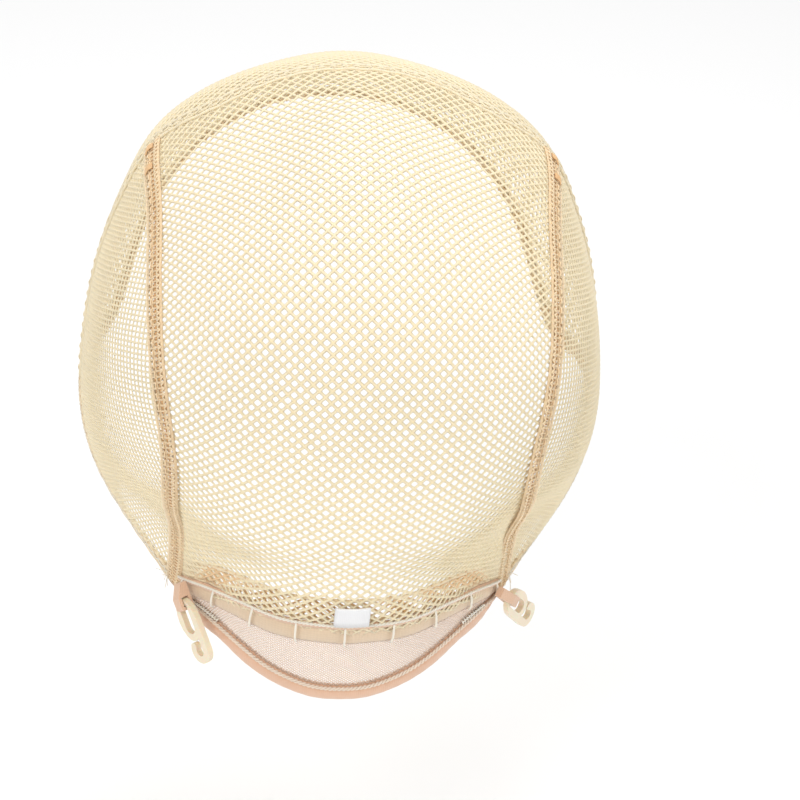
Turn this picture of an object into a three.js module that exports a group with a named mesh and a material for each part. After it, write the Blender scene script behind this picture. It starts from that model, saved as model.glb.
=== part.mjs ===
// Adjustable wig cap: a net cap for a small head, sewn from a crown panel, two side panels
// and a front panel, with an elastic casing, a net gusset and a bound edge at the nape,
// and a plastic hook on each nape corner.
// Millimetres, +Z up, the wearer faces +Y. The origin is the inside of the crown.

import * as THREE from "three";

// Head that the cap is cut for
const HALF_WIDTH = 76;
const HALF_LENGTH = 85;
const CROWN_HEIGHT = 80;

// Thickness of each layer of work, measured outwards from the head
const NET_THICKNESS = 1.0;
const HEM_THICKNESS = 1.3;
const SEAM_THICKNESS = 1.5;
const CASING_THICKNESS = 1.8;
const BINDING_THICKNESS = 1.8;
const PIPING_THICKNESS = 2.4;

// Width of each sewn strip
const SEAM_WIDTH = 5.3;
const CROSS_SEAM_WIDTH = 4.0;
const CROWN_HEM_WIDTH = 8.0;
const PIPING_WIDTH = 2.0;
const CASING_WIDTH = 6.0;
const BINDING_WIDTH = 6.3;
const EDGE_HEM_WIDTH = 4.0;

// Length of rim over which the binding comes to its full width at each corner, and places
// that its upper edge is drawn through
const BINDING_RISE = 14;
const BINDING_PLACES = 12;

// Clearance between pieces that are sewn edge to edge, and around the loose ones
const SEWN_GAP = 0.3;
const LOOSE_GAP = 0.3;

// Size tag, which stands up from the piping near the middle of the nape
const TAG_WIDTH = 9.8;
const TAG_LENGTH = 9.5;
const TAG_THICKNESS = 0.9;
const TAG_CORNER = 0.8;
const TAG_OFFSET = 1.3;
const TAG_LEAN = THREE.MathUtils.degToRad(6);

// Plastic hook: a long ring for the elastic, whose inner rail runs on as a neck and curls
const HOOK_THICKNESS = 1.8;
const HOOK_RING_LENGTH = 13.0;
const HOOK_RING_WIDTH = 8.6;
const HOOK_RAIL = 2.3;
const HOOK_BAR = 2.2;
const HOOK_LENGTH = 20;
const HOOK_CURL_RADIUS = 2.7;
const HOOK_CURL_TURN = THREE.MathUtils.degToRad(215);
const HOOK_SWING = { left: THREE.MathUtils.degToRad(34), right: THREE.MathUtils.degToRad(45) };
const HOOK_INSET = 3.2;
const HOOK_DROP = { left: -1.5, right: 1.8 };

// Elastic loop that ties each hook to its nape corner
const STRAP_WIDTH = 3.0;
const STRAP_THICKNESS = 1.0;
const STRAP_OVERLAP = 4.0;

// Spacing of the vertices over the cloth, points that a sewing line is cut from, and turn
// between the points of an arc
const CELL = 6;
const LINE_SAMPLES = 80;
const ARC_STEP = THREE.MathUtils.degToRad(20);

// Head form. Each row is one angle down from the crown, in degrees, and each column one
// direction around the head. A value of 1 lies on the ellipsoid of the three head sizes.
const HEAD_ROW_STEP = 15;
const HEAD_COLUMNS = ["back", "backCorner", "side", "frontCorner", "front"];
const HEAD_ROWS = [
  { down: 0, back: 1.0, backCorner: 1.0, side: 1.0, frontCorner: 1.0, front: 1.0 },
  { down: 15, back: 1.013, backCorner: 0.985, side: 1.004, frontCorner: 1.004, front: 1.0 },
  { down: 30, back: 1.028, backCorner: 0.97, side: 1.02, frontCorner: 1.0, front: 1.0 },
  { down: 45, back: 1.037, backCorner: 0.97, side: 1.03, frontCorner: 0.99, front: 1.005 },
  { down: 60, back: 1.032, backCorner: 0.985, side: 0.985, frontCorner: 1.0, front: 1.05 },
  { down: 75, back: 1.014, backCorner: 1.005, side: 0.965, frontCorner: 1.02, front: 1.105 },
  { down: 90, back: 0.992, backCorner: 0.994, side: 0.973, frontCorner: 1.038, front: 1.128 },
  { down: 105, back: 0.986, backCorner: 0.975, side: 1.02, frontCorner: 1.045, front: 1.12 },
  { down: 120, back: 1.003, backCorner: 0.957, side: 1.07, frontCorner: 1.042, front: 1.1 },
  { down: 135, back: 1.109, backCorner: 1.073, side: 1.1, frontCorner: 1.04, front: 1.043 },
  { down: 150, back: 1.369, backCorner: 1.352, side: 1.174, frontCorner: 1.1, front: 1.1 },
  { down: 165, back: 1.87, backCorner: 1.64, side: 1.33, frontCorner: 1.15, front: 1.15 },
];

// Sewing lines. Each row is a place near the head as shares of the half width (across),
// the half length (ahead) and the crown height (up); the cloth carries it out to the form.
// One side is written down, and the other mirrors it.
const CROWN_TOP = { across: 0.0, ahead: 0.075, up: 1.0 };
const SEAM_TOP = { across: 0.705, ahead: 0.0, up: 0.755 };
const CASING_END = { across: 0.575, ahead: -0.43, up: -0.765 };
const EAR_TOP = { across: 1.0, ahead: 0.035, up: -0.285 };
const TEMPLE = { across: 0.816, ahead: 0.617, up: -0.099 };
const CROSS_LINE = [
  CROWN_TOP,
  { across: 0.27, ahead: 0.04, up: 0.97 },
  { across: 0.48, ahead: -0.015, up: 0.885 },
  SEAM_TOP,
  { across: 0.86, ahead: 0.01, up: 0.5 },
  { across: 0.96, ahead: 0.02, up: 0.2 },
  { across: 0.98, ahead: 0.03, up: -0.05 },
  EAR_TOP,
];
const SEAM_LINE = [
  SEAM_TOP,
  { across: 0.697, ahead: -0.26, up: 0.66 },
  { across: 0.695, ahead: -0.47, up: 0.51 },
  { across: 0.68, ahead: -0.66, up: 0.32 },
  { across: 0.65, ahead: -0.75, up: 0.12 },
  { across: 0.625, ahead: -0.76, up: -0.07 },
  { across: 0.592, ahead: -0.62, up: -0.38 },
  { across: 0.585, ahead: -0.52, up: -0.61 },
  CASING_END,
];
const CASING_LINE = [
  CASING_END,
  { across: 0.49, ahead: -0.57, up: -0.765 },
  { across: 0.39, ahead: -0.66, up: -0.77 },
  { across: 0.25, ahead: -0.73, up: -0.785 },
  { across: 0.1, ahead: -0.78, up: -0.787 },
  { across: 0.0, ahead: -0.785, up: -0.787 },
];
const NAPE_LINE = [
  { across: 0.545, ahead: -0.5, up: -0.88 },
  { across: 0.455, ahead: -0.6, up: -0.93 },
  { across: 0.355, ahead: -0.65, up: -0.99 },
  { across: 0.2, ahead: -0.695, up: -1.06 },
  { across: 0.09, ahead: -0.705, up: -1.085 },
  { across: 0.0, ahead: -0.71, up: -1.09 },
];
const EAR_LINE = [
  { across: 0.79, ahead: -0.3, up: -0.71 },
  { across: 0.88, ahead: -0.24, up: -0.61 },
  { across: 0.945, ahead: -0.16, up: -0.5 },
  { across: 0.99, ahead: -0.05, up: -0.36 },
  EAR_TOP,
  { across: 0.993, ahead: 0.21, up: -0.247 },
  { across: 0.96, ahead: 0.349, up: -0.259 },
  { across: 0.895, ahead: 0.489, up: -0.247 },
  TEMPLE,
  { across: 0.684, ahead: 0.72, up: 0.148 },
  { across: 0.5, ahead: 0.826, up: 0.334 },
  { across: 0.263, ahead: 0.896, up: 0.445 },
  { across: 0.0, ahead: 0.92, up: 0.48 },
];

// Share of the way from the nape corner to the ear where the side panel's grid turns
const EAR_BEND = 0.45;

// Colours and finishes
const NET = { color: 0xece0bf, roughness: 0.85 };
const HEM = { color: 0xe4cfa0, roughness: 0.85 };
const SEAM = { color: 0xe9cba3, roughness: 0.85 };
const CASING = { color: 0xd5bea0, roughness: 0.8 };
const PIPING = { color: 0xe1b9a5, roughness: 0.8 };
const NAPE_NET = { color: 0xdecdc3, roughness: 0.85 };
const BINDING = { color: 0xd7aa91, roughness: 0.75 };
const PLASTIC = { color: 0xe6d7b4, roughness: 0.35 };
const TAG = { color: 0xf5f4f1, roughness: 0.6 };

const HEAD_SIZE = new THREE.Vector3(HALF_WIDTH, HALF_LENGTH, CROWN_HEIGHT);
const HEAD_CENTRE = new THREE.Vector3(0, 0, -CROWN_HEIGHT);

// Weights of the five columns at one turn from the back, as a smooth cosine series
function columnWeights(turn) {
  const last = HEAD_COLUMNS.length - 1;
  return HEAD_COLUMNS.map((_, column) => {
    let weight = 0;
    for (let wave = 0; wave <= last; wave++) {
      const half = wave === 0 || wave === last ? 0.5 : 1;
      weight += half * Math.cos(wave * turn) * Math.cos((Math.PI * wave * column) / last);
    }
    const edge = column === 0 || column === last ? 0.5 : 1;
    return (2 / last) * edge * weight;
  });
}

function rowValue(row, weights) {
  const values = HEAD_ROWS[THREE.MathUtils.clamp(row, 0, HEAD_ROWS.length - 1)];
  return HEAD_COLUMNS.reduce((sum, name, column) => sum + values[name] * weights[column], 0);
}

// How far the head stands out along a direction, as a share of the ellipsoid
function fullness(direction) {
  const weights = columnWeights(Math.atan2(Math.abs(direction.x), -direction.y));
  const place = direction.angleTo(new THREE.Vector3(0, 0, 1)) / THREE.MathUtils.degToRad(HEAD_ROW_STEP);
  const row = Math.floor(place);
  const [a, b, c, d] = [-1, 0, 1, 2].map((step) => rowValue(Math.abs(row + step), weights));
  const t = place - row;
  return b + 0.5 * t * (c - a + t * (2 * a - 5 * b + 4 * c - d + t * (3 * (b - c) + d - a)));
}

function onHead(direction) {
  const unit = direction.clone().normalize();
  return unit.clone().multiplyScalar(fullness(unit)).multiply(HEAD_SIZE).add(HEAD_CENTRE);
}

function outward(direction) {
  const step = 0.01;
  const unit = direction.clone().normalize();
  const side = new THREE.Vector3(1, 0, 0).cross(unit);
  if (side.length() < 0.5) side.set(0, 1, 0).cross(unit);
  side.setLength(step);
  const rise = unit.clone().cross(side);
  const first = onHead(unit.clone().add(side)).sub(onHead(unit.clone().sub(side)));
  const second = onHead(unit.clone().add(rise)).sub(onHead(unit.clone().sub(rise)));
  return first.cross(second).normalize();
}

function clothPoint(direction, lift) {
  return onHead(direction).addScaledVector(outward(direction), lift);
}

const blend = (a, b, t) => a.clone().lerp(b, t);

// A direction moved over the head by a vector in millimetres
function moved(direction, shift) {
  return onHead(direction).add(shift).sub(HEAD_CENTRE).divide(HEAD_SIZE).normalize();
}

function distanceBetween(a, b) {
  return onHead(a).distanceTo(onHead(b));
}

// Distance along a line from its start to each of its points
function marks(line) {
  const result = [0];
  for (let i = 1; i < line.length; i++) result.push(result[i - 1] + distanceBetween(line[i - 1], line[i]));
  return result;
}

const lengthOf = (line) => marks(line).at(-1);

// Stretch of a line between two distances from its start, in even steps
function stretch(line, from, to, count) {
  const along = marks(line);
  return Array.from({ length: count + 1 }, (_, step) => {
    const target = THREE.MathUtils.clamp(from + ((to - from) * step) / count, 0, along.at(-1));
    const next = Math.max(1, along.findIndex((mark) => mark >= target));
    const share = (target - along[next - 1]) / (along[next] - along[next - 1]);
    return blend(line[next - 1], line[next], share).normalize();
  });
}

// Distance along a line of its point nearest to a direction
function reach(line, direction) {
  const target = onHead(direction);
  const along = marks(line);
  let nearest = { gap: Infinity, distance: 0 };
  for (let i = 1; i < line.length; i++) {
    const segment = new THREE.Line3(onHead(line[i - 1]), onHead(line[i]));
    const share = segment.closestPointToPointParameter(target, true);
    const gap = segment.at(share, new THREE.Vector3()).distanceTo(target);
    const distance = THREE.MathUtils.lerp(along[i - 1], along[i], share);
    if (gap < nearest.gap) nearest = { gap, distance };
  }
  return nearest.distance;
}

const pointAt = (line, distance) => stretch(line, distance, distance, 1)[0];

// Distances along two lines to the place where they cross, found from a guess
function crossing(first, second, guess) {
  let point = guess;
  let [onFirst, onSecond] = [0, 0];
  for (let pass = 0; pass < 12; pass++) {
    onFirst = reach(first, point);
    onSecond = reach(second, pointAt(first, onFirst));
    point = pointAt(second, onSecond);
  }
  return [onFirst, onSecond];
}

// Line on the left of another one, as seen from outside, at a distance in millimetres
function beside(line, distance) {
  const last = line.length - 1;
  return line.map((point, i) => {
    const travel = onHead(line[Math.min(i + 1, last)]).sub(onHead(line[Math.max(i - 1, 0)]));
    return moved(point, outward(point).cross(travel).setLength(distance));
  });
}

// Moves both ends of a line to given places and carries the rest along
function pinned(line, start, end) {
  const last = line.length - 1;
  const startShift = start.clone().sub(line[0]);
  const endShift = end.clone().sub(line[last]);
  return line.map((point, i) => {
    const carried = point.clone().addScaledVector(startShift, 1 - i / last);
    return carried.addScaledVector(endShift, i / last).normalize();
  });
}

// Smooth line through places, with a sample at each of them
function smooth(places) {
  const perPlace = Math.ceil(LINE_SAMPLES / (places.length - 1));
  const curve = new THREE.CatmullRomCurve3(places);
  return curve.getPoints(perPlace * (places.length - 1)).map((point) => point.normalize());
}

const place = (row, side) => new THREE.Vector3(side * row.across, row.ahead, row.up).normalize();
const places = (rows, side) => rows.map((row) => place(row, side));
const backwards = (line) => line.slice().reverse();
const steps = (line) => Math.max(2, Math.round(lengthOf(line) / CELL));

// Grid of directions between four edges: top and bottom run left to right, sides run down
function fill(top, bottom, left, right) {
  const across = top.length - 1;
  const down = left.length - 1;
  return left.map((_, j) => {
    const v = j / down;
    return top.map((_, i) => {
      const u = i / across;
      const ruled = blend(top[i], bottom[i], v).add(blend(left[j], right[j], u));
      const corners = blend(blend(top[0], top[across], u), blend(bottom[0], bottom[across], u), v);
      return ruled.sub(corners).normalize();
    });
  });
}

// Grid between two lines with as many points
function strip(upper, lower, rows = 1) {
  return Array.from({ length: rows + 1 }, (_, j) => {
    return upper.map((point, i) => blend(point, lower[i], j / rows).normalize());
  });
}

// Moves a direction towards another by half the sewn gap
function stepIn(from, towards) {
  const travel = onHead(towards).sub(onHead(from)).setLength(SEWN_GAP / 2);
  return moved(from, travel);
}

// Draws the rim of a grid in, so that neighbours stay clear of each other
function drawnIn(grid) {
  const sides = grid.map((row) => {
    return [stepIn(row[0], row[1]), ...row.slice(1, -1), stepIn(row.at(-1), row.at(-2))];
  });
  const first = sides[0].map((point, i) => stepIn(point, sides[1][i]));
  const final = sides.at(-1).map((point, i) => stepIn(point, sides.at(-2)[i]));
  return [first, ...sides.slice(1, -1), final];
}

function closedGeometry(positions, triangles) {
  const volume = triangles.reduce((sum, [a, b, c]) => {
    return sum + positions[a].dot(positions[b].clone().cross(positions[c]));
  }, 0);
  const geometry = new THREE.BufferGeometry();
  geometry.setFromPoints(positions);
  geometry.setIndex(triangles.flatMap(([a, b, c]) => (volume > 0 ? [a, b, c] : [a, c, b])));
  geometry.computeVertexNormals();
  return geometry;
}

// Cloth of one thickness over a grid of directions, closed all round. Both of its sides are
// split along the shorter diagonal of each cell.
function cloth(grid, thickness) {
  const clear = drawnIn(grid);
  const columns = clear[0].length;
  const count = clear.length * columns;
  const outer = clear.flat().map((direction) => clothPoint(direction, thickness));
  const inner = clear.flat().map((direction) => clothPoint(direction, 0));
  const at = (j, i) => j * columns + i;
  const triangles = [];
  const quad = (a, b, c, d) => triangles.push([a, b, c], [a, c, d]);
  for (let j = 0; j < clear.length - 1; j++) {
    for (let i = 0; i < columns - 1; i++) {
      const corners = [at(j, i), at(j + 1, i), at(j + 1, i + 1), at(j, i + 1)];
      const [first, second, third, fourth] = corners.map((corner) => outer[corner]);
      if (second.distanceTo(fourth) < first.distanceTo(third)) corners.push(corners.shift());
      quad(...corners);
      const [a, b, c, d] = corners.map((corner) => corner + count);
      quad(a, d, c, b);
    }
  }
  const wall = (a, b) => quad(a, b, b + count, a + count);
  for (let i = 0; i < columns - 1; i++) {
    wall(at(0, i), at(0, i + 1));
    wall(at(clear.length - 1, i + 1), at(clear.length - 1, i));
  }
  for (let j = 0; j < clear.length - 1; j++) {
    wall(at(j + 1, 0), at(j, 0));
    wall(at(j, columns - 1), at(j + 1, columns - 1));
  }
  return closedGeometry([...outer, ...inner], triangles);
}

const cap = new THREE.Group();
cap.name = "wig_cap";

function addPiece(name, geometry, finish, parent = cap) {
  const mesh = new THREE.Mesh(geometry, new THREE.MeshStandardMaterial({ ...finish, metalness: 0 }));
  mesh.name = name;
  parent.add(mesh);
  return mesh;
}

// Seam from ear to ear over the crown, from the wearer's left to the right
const crossBack = smooth([...backwards(places(CROSS_LINE, -1)), ...places(CROSS_LINE, 1).slice(1)]);

// Lines of one side, from the crown down to the nape corner and forward over the ear
function sideLines(name, side) {
  const seamTop = place(SEAM_TOP, side);
  const inner = smooth(places(SEAM_LINE, side));
  const seamReach = reach(crossBack, seamTop) + side * SEAM_WIDTH;
  const free = beside(inner, side * SEAM_WIDTH);
  const outer = pinned(free, pointAt(crossBack, seamReach), free.at(-1));
  return { name, side, seamTop, inner, outer };
}

const left = sideLines("left", -1);
const right = sideLines("right", 1);

// Free edge from the left nape corner round the face to the right one, and its hem line
const edge = smooth([
  left.outer.at(-1),
  ...places(EAR_LINE, -1),
  ...backwards(places(EAR_LINE, 1)).slice(1),
  right.outer.at(-1),
]);
const hemStart = (lines) => pointAt(lines.outer, lengthOf(lines.outer) - EDGE_HEM_WIDTH);
const hem = pinned(beside(edge, -EDGE_HEM_WIDTH), hemStart(left), hemStart(right));

const hemLength = lengthOf(hem);

// The cross seam is cut off at the hem line over each ear
const [crossLeft, hemEarLeft] = crossing(crossBack, hem, place(EAR_TOP, -1));
const [crossRight, hemEarRight] = crossing(crossBack, hem, place(EAR_TOP, 1));
const earReach = { left: hemEarLeft, right: hemEarRight };
const seamAcross = stretch(crossBack, crossLeft, crossRight, LINE_SAMPLES);
const freeAhead = beside(seamAcross, CROSS_SEAM_WIDTH);
const frontReach = { left: reach(hem, freeAhead[0]), right: reach(hem, freeAhead.at(-1)) };
const seamAhead = pinned(freeAhead, pointAt(hem, frontReach.left), pointAt(hem, frontReach.right));

// Lines across the nape between the side seams, from the casing up
const seamPoint = (lines, above) => pointAt(lines.inner, lengthOf(lines.inner) - above);
const acrossNape = (line, above) => pinned(line, seamPoint(left, above), seamPoint(right, above));
const casingBottom = smooth([...places(CASING_LINE, -1), ...backwards(places(CASING_LINE, 1)).slice(1)]);
const casingTop = acrossNape(beside(casingBottom, CASING_WIDTH), CASING_WIDTH);
const pipingTop = acrossNape(beside(casingTop, PIPING_WIDTH), CASING_WIDTH + PIPING_WIDTH);
const crownEnd = CASING_WIDTH + PIPING_WIDTH + CROWN_HEM_WIDTH;
const crownHemTop = acrossNape(beside(pipingTop, CROWN_HEM_WIDTH), crownEnd);

// Bound edge of the nape, hung between the two corners
const napeEdge = smooth([
  left.outer.at(-1),
  ...places(NAPE_LINE, -1),
  ...backwards(places(NAPE_LINE, 1)).slice(1),
  right.outer.at(-1),
]);
const bindingEnd = BINDING_WIDTH - SEAM_WIDTH;
const bindingSeat = beside(casingBottom, -2 * SEWN_GAP);
const fullRim = stretch(napeEdge, BINDING_RISE, lengthOf(napeEdge) - BINDING_RISE, BINDING_PLACES);
const bindingTop = smooth([
  pointAt(bindingSeat, bindingEnd),
  ...beside(fullRim, BINDING_WIDTH),
  pointAt(bindingSeat, lengthOf(bindingSeat) - bindingEnd),
]);

// Casing, nape net and binding share their columns
const napeColumns = steps(bindingTop);

function band(name, upper, lower, thickness, finish, count = steps(upper)) {
  const grid = strip(stretch(upper, 0, lengthOf(upper), count), stretch(lower, 0, lengthOf(lower), count));
  addPiece(name, cloth(grid, thickness), finish);
}

function crownPanel() {
  const long = steps(left.inner);
  const wide = steps(pipingTop);
  const top = stretch(crossBack, reach(crossBack, left.seamTop), reach(crossBack, right.seamTop), wide);
  const bottom = stretch(crownHemTop, 0, lengthOf(crownHemTop), wide);
  const [sideLeft, sideRight] = [left, right].map((lines) => {
    return stretch(lines.inner, 0, lengthOf(lines.inner) - crownEnd, long);
  });
  addPiece("crown_panel", cloth(fill(top, bottom, sideLeft, sideRight), NET_THICKNESS), NET);
}

// Side panel of one side, between its seam, the cross seam and the hem over the ear
function sidePanel({ name, side, outer, seamTop }) {
  const fromSeam = reach(seamAcross, seamTop) + side * SEAM_WIDTH;
  const toEar = side > 0 ? lengthOf(seamAcross) : 0;
  const corner = side > 0 ? hemLength : 0;
  const bend = THREE.MathUtils.lerp(corner, earReach[name], EAR_BEND);
  const wide = steps(stretch(seamAcross, fromSeam, toEar, LINE_SAMPLES));
  const long = steps(outer);
  const grid = fill(
    stretch(seamAcross, fromSeam, toEar, wide),
    stretch(hem, corner, bend, wide),
    stretch(outer, 0, lengthOf(outer) - EDGE_HEM_WIDTH, long),
    stretch(hem, earReach[name], bend, long),
  );
  addPiece(`side_panel_${name}`, cloth(grid, NET_THICKNESS), NET);
}

function frontPanel() {
  const temple = { left: reach(hem, place(TEMPLE, -1)), right: reach(hem, place(TEMPLE, 1)) };
  const wide = steps(seamAhead);
  const long = steps(stretch(hem, frontReach.left, temple.left, LINE_SAMPLES));
  const grid = fill(
    stretch(seamAhead, 0, lengthOf(seamAhead), wide),
    stretch(hem, temple.left, temple.right, wide),
    stretch(hem, frontReach.left, temple.left, long),
    stretch(hem, frontReach.right, temple.right, long),
  );
  addPiece("front_panel", cloth(grid, NET_THICKNESS), NET);
}

// Turned hems of the free edge: one over each ear and one round the face
function edgeHems() {
  const outerReach = (distance) => reach(edge, pointAt(hem, distance));
  const piece = (name, from, to, outerFrom, outerTo) => {
    const inner = stretch(hem, from, to, LINE_SAMPLES);
    band(name, inner, stretch(edge, outerFrom, outerTo, LINE_SAMPLES), HEM_THICKNESS, HEM);
  };
  const [outerLeft, outerRight] = [outerReach(frontReach.left), outerReach(frontReach.right)];
  piece("ear_hem_left", 0, frontReach.left, 0, outerLeft);
  piece("front_hem", frontReach.left, frontReach.right, outerLeft, outerRight);
  piece("ear_hem_right", frontReach.right, hemLength, outerRight, lengthOf(edge));
}

// The net leaves out the column at each corner, where casing and binding meet
function napeNet() {
  const inside = (line) => stretch(line, 0, lengthOf(line), napeColumns).slice(1, -1);
  addPiece("nape_net", cloth(strip(inside(casingBottom), inside(bindingTop), 2), NET_THICKNESS), NAPE_NET);
}

// Points along an arc of an ellipse, between two turns
function arc(x, y, reachX, reachY, from, to) {
  const count = Math.ceil(Math.abs(to - from) / ARC_STEP);
  return Array.from({ length: count + 1 }, (_, step) => {
    const turn = from + ((to - from) * step) / count;
    return new THREE.Vector2(x + reachX * Math.cos(turn), y + reachY * Math.sin(turn));
  });
}

// Closed outline without doubled points, running anticlockwise
function outline(points) {
  const tiny = 1e-3;
  const clean = points.filter((point, i) => point.distanceTo(points.at(i - 1)) > tiny);
  return THREE.ShapeUtils.isClockWise(clean) ? clean.reverse() : clean;
}

// Rounded plate outline of the size tag, standing on its sewn end
function tagShape() {
  const half = TAG_WIDTH / 2;
  const [x, y] = [half - TAG_CORNER, TAG_LENGTH - TAG_CORNER];
  const round = (side, from) => {
    return arc(side * x, y, TAG_CORNER, TAG_CORNER, from, from + Math.PI / 2);
  };
  const foot = [new THREE.Vector2(-half, 0), new THREE.Vector2(half, 0)];
  return new THREE.Shape(outline([...foot, ...round(1, 0), ...round(-1, Math.PI / 2)]));
}

function plate(shape, depth) {
  return new THREE.ExtrudeGeometry(shape, { depth, bevelEnabled: false });
}

function sizeTag() {
  const seat = pointAt(pipingTop, lengthOf(pipingTop) / 2 + TAG_OFFSET);
  const normal = outward(seat);
  const rise = new THREE.Vector3(0, 0, 1).addScaledVector(normal, -normal.z).normalize();
  const frame = new THREE.Group();
  frame.position.copy(clothPoint(seat, HEM_THICKNESS + LOOSE_GAP)).addScaledVector(rise, LOOSE_GAP);
  frame.setRotationFromMatrix(new THREE.Matrix4().makeBasis(rise.clone().cross(normal), rise, normal));
  frame.rotateX(TAG_LEAN);
  cap.add(frame);
  addPiece("size_tag", plate(tagShape(), TAG_THICKNESS), TAG, frame);
}

// Flat outline of the hook, with the top of its ring at zero and its curl to the left
function hookShape() {
  const ringRise = HOOK_RING_LENGTH / 2;
  const ringReach = HOOK_RING_WIDTH / 2;
  const curlOuter = HOOK_CURL_RADIUS + HOOK_RAIL / 2;
  const curlInner = HOOK_CURL_RADIUS - HOOK_RAIL / 2;
  const curlX = ringReach - curlOuter;
  const curlY = curlOuter - HOOK_LENGTH;
  const railJoin = -Math.acos((ringReach - HOOK_RAIL) / ringReach);
  const tipX = curlX + HOOK_CURL_RADIUS * Math.cos(HOOK_CURL_TURN);
  const tipY = curlY - HOOK_CURL_RADIUS * Math.sin(HOOK_CURL_TURN);
  const shape = new THREE.Shape(outline([
    ...arc(0, -ringRise, ringReach, ringRise, Math.PI / 2, 0),
    ...arc(curlX, curlY, curlOuter, curlOuter, 0, -HOOK_CURL_TURN),
    ...arc(tipX, tipY, HOOK_RAIL / 2, HOOK_RAIL / 2, -HOOK_CURL_TURN, -HOOK_CURL_TURN - Math.PI),
    ...arc(curlX, curlY, curlInner, curlInner, -HOOK_CURL_TURN, 0),
    ...arc(0, -ringRise, ringReach, ringRise, railJoin, -1.5 * Math.PI),
  ]));
  const slotReach = ringReach - HOOK_RAIL;
  const slotFoot = HOOK_BAR + slotReach - HOOK_RING_LENGTH;
  shape.holes.push(new THREE.Path(outline([
    new THREE.Vector2(-slotReach, -HOOK_BAR),
    new THREE.Vector2(slotReach, -HOOK_BAR),
    ...arc(0, slotFoot, slotReach, slotReach, 0, -Math.PI),
  ])));
  return shape;
}

// Side view of the elastic loop: two layers sewn to the corner, opened round the hook's bar
function strapShape() {
  const eyeDepth = HOOK_THICKNESS + 2 * LOOSE_GAP;
  const eyeLength = HOOK_BAR + 2 * LOOSE_GAP;
  const depth = eyeDepth + 2 * STRAP_THICKNESS;
  const length = STRAP_OVERLAP + eyeLength + STRAP_THICKNESS;
  const round = STRAP_THICKNESS / 2;
  const flat = (rows) => outline(rows.map(([out, down]) => new THREE.Vector2(out, -down)));
  const shape = new THREE.Shape(flat([
    [0, 0],
    [0, length - round],
    [round, length],
    [depth - round, length],
    [depth, length - round],
    [depth, STRAP_OVERLAP],
    [2 * STRAP_THICKNESS, 0],
  ]));
  shape.holes.push(new THREE.Path(flat([
    [STRAP_THICKNESS, STRAP_OVERLAP],
    [STRAP_THICKNESS + eyeDepth, STRAP_OVERLAP],
    [STRAP_THICKNESS + eyeDepth, STRAP_OVERLAP + eyeLength],
    [STRAP_THICKNESS, STRAP_OVERLAP + eyeLength],
  ])));
  return shape;
}

// Hook of one side and its elastic loop, hung from the end of the casing
function hookAndStrap({ name, side }) {
  const fromEnd = (line) => pointAt(line, side > 0 ? lengthOf(line) - HOOK_INSET : HOOK_INSET);
  const corner = blend(fromEnd(casingTop), fromEnd(casingBottom), HOOK_DROP[name] / CASING_WIDTH).normalize();
  const facing = outward(corner).setZ(0).normalize();
  const up = new THREE.Vector3(0, 0, 1);
  const frame = new THREE.Group();
  frame.position.copy(clothPoint(corner, PIPING_THICKNESS + LOOSE_GAP));
  frame.setRotationFromMatrix(new THREE.Matrix4().makeBasis(up.clone().cross(facing), up, facing));
  frame.rotateZ(HOOK_SWING[name]);
  cap.add(frame);
  const strap = plate(strapShape(), STRAP_WIDTH);
  strap.translate(0, 0, -STRAP_WIDTH / 2);
  strap.rotateY(-Math.PI / 2);
  addPiece(`hook_strap_${name}`, strap, PIPING, frame);
  const hook = plate(hookShape(), HOOK_THICKNESS);
  if (side > 0) hook.rotateY(Math.PI).translate(0, 0, HOOK_THICKNESS);
  const piece = addPiece(`hook_${name}`, hook, PLASTIC, frame);
  piece.position.set(0, -STRAP_OVERLAP - LOOSE_GAP, STRAP_THICKNESS + LOOSE_GAP);
}

crownPanel();
frontPanel();
edgeHems();
band("cross_seam_band", seamAhead, seamAcross, SEAM_THICKNESS, NET);
band("crown_hem", crownHemTop, pipingTop, HEM_THICKNESS, HEM);
band("casing_piping", pipingTop, casingTop, PIPING_THICKNESS, PIPING);
band("nape_casing", casingTop, casingBottom, CASING_THICKNESS, CASING, napeColumns);
band("nape_binding", bindingTop, napeEdge, BINDING_THICKNESS, BINDING, napeColumns);
napeNet();
sizeTag();
for (const lines of [left, right]) {
  sidePanel(lines);
  band(`seam_band_${lines.name}`, lines.inner, lines.outer, SEAM_THICKNESS, SEAM);
  hookAndStrap(lines);
}

export default cap;
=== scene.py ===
"""Looks of a net wig cap: open knotted nets, doubled seams, an elastic casing with bar
tacks, a fine nape net, a bound nape edge, moulded hooks on elastic loops and a folded tag."""

import math

import bpy
import numpy as np
from bpy.props import FloatProperty, FloatVectorProperty, IntProperty, PointerProperty
from mathutils import Matrix, Vector


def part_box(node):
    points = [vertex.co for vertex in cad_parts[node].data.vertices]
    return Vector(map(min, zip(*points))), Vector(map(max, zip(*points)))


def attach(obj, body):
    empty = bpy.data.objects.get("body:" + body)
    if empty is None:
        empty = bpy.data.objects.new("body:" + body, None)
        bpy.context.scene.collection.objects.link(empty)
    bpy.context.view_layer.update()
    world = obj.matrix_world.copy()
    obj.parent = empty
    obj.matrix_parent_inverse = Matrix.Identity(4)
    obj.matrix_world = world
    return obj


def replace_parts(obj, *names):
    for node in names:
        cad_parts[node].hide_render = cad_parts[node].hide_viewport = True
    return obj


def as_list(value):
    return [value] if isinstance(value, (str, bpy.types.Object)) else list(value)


bl_info = {
    "name": "Wig cap",
    "version": (1, 0, 0),
    "blender": (4, 5, 0),
    "location": "View3D > Sidebar > Wig Cap",
    "description": "Builds the nets, seams, casing, hooks and tag of a wig cap",
    "category": "Object",
}

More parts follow.
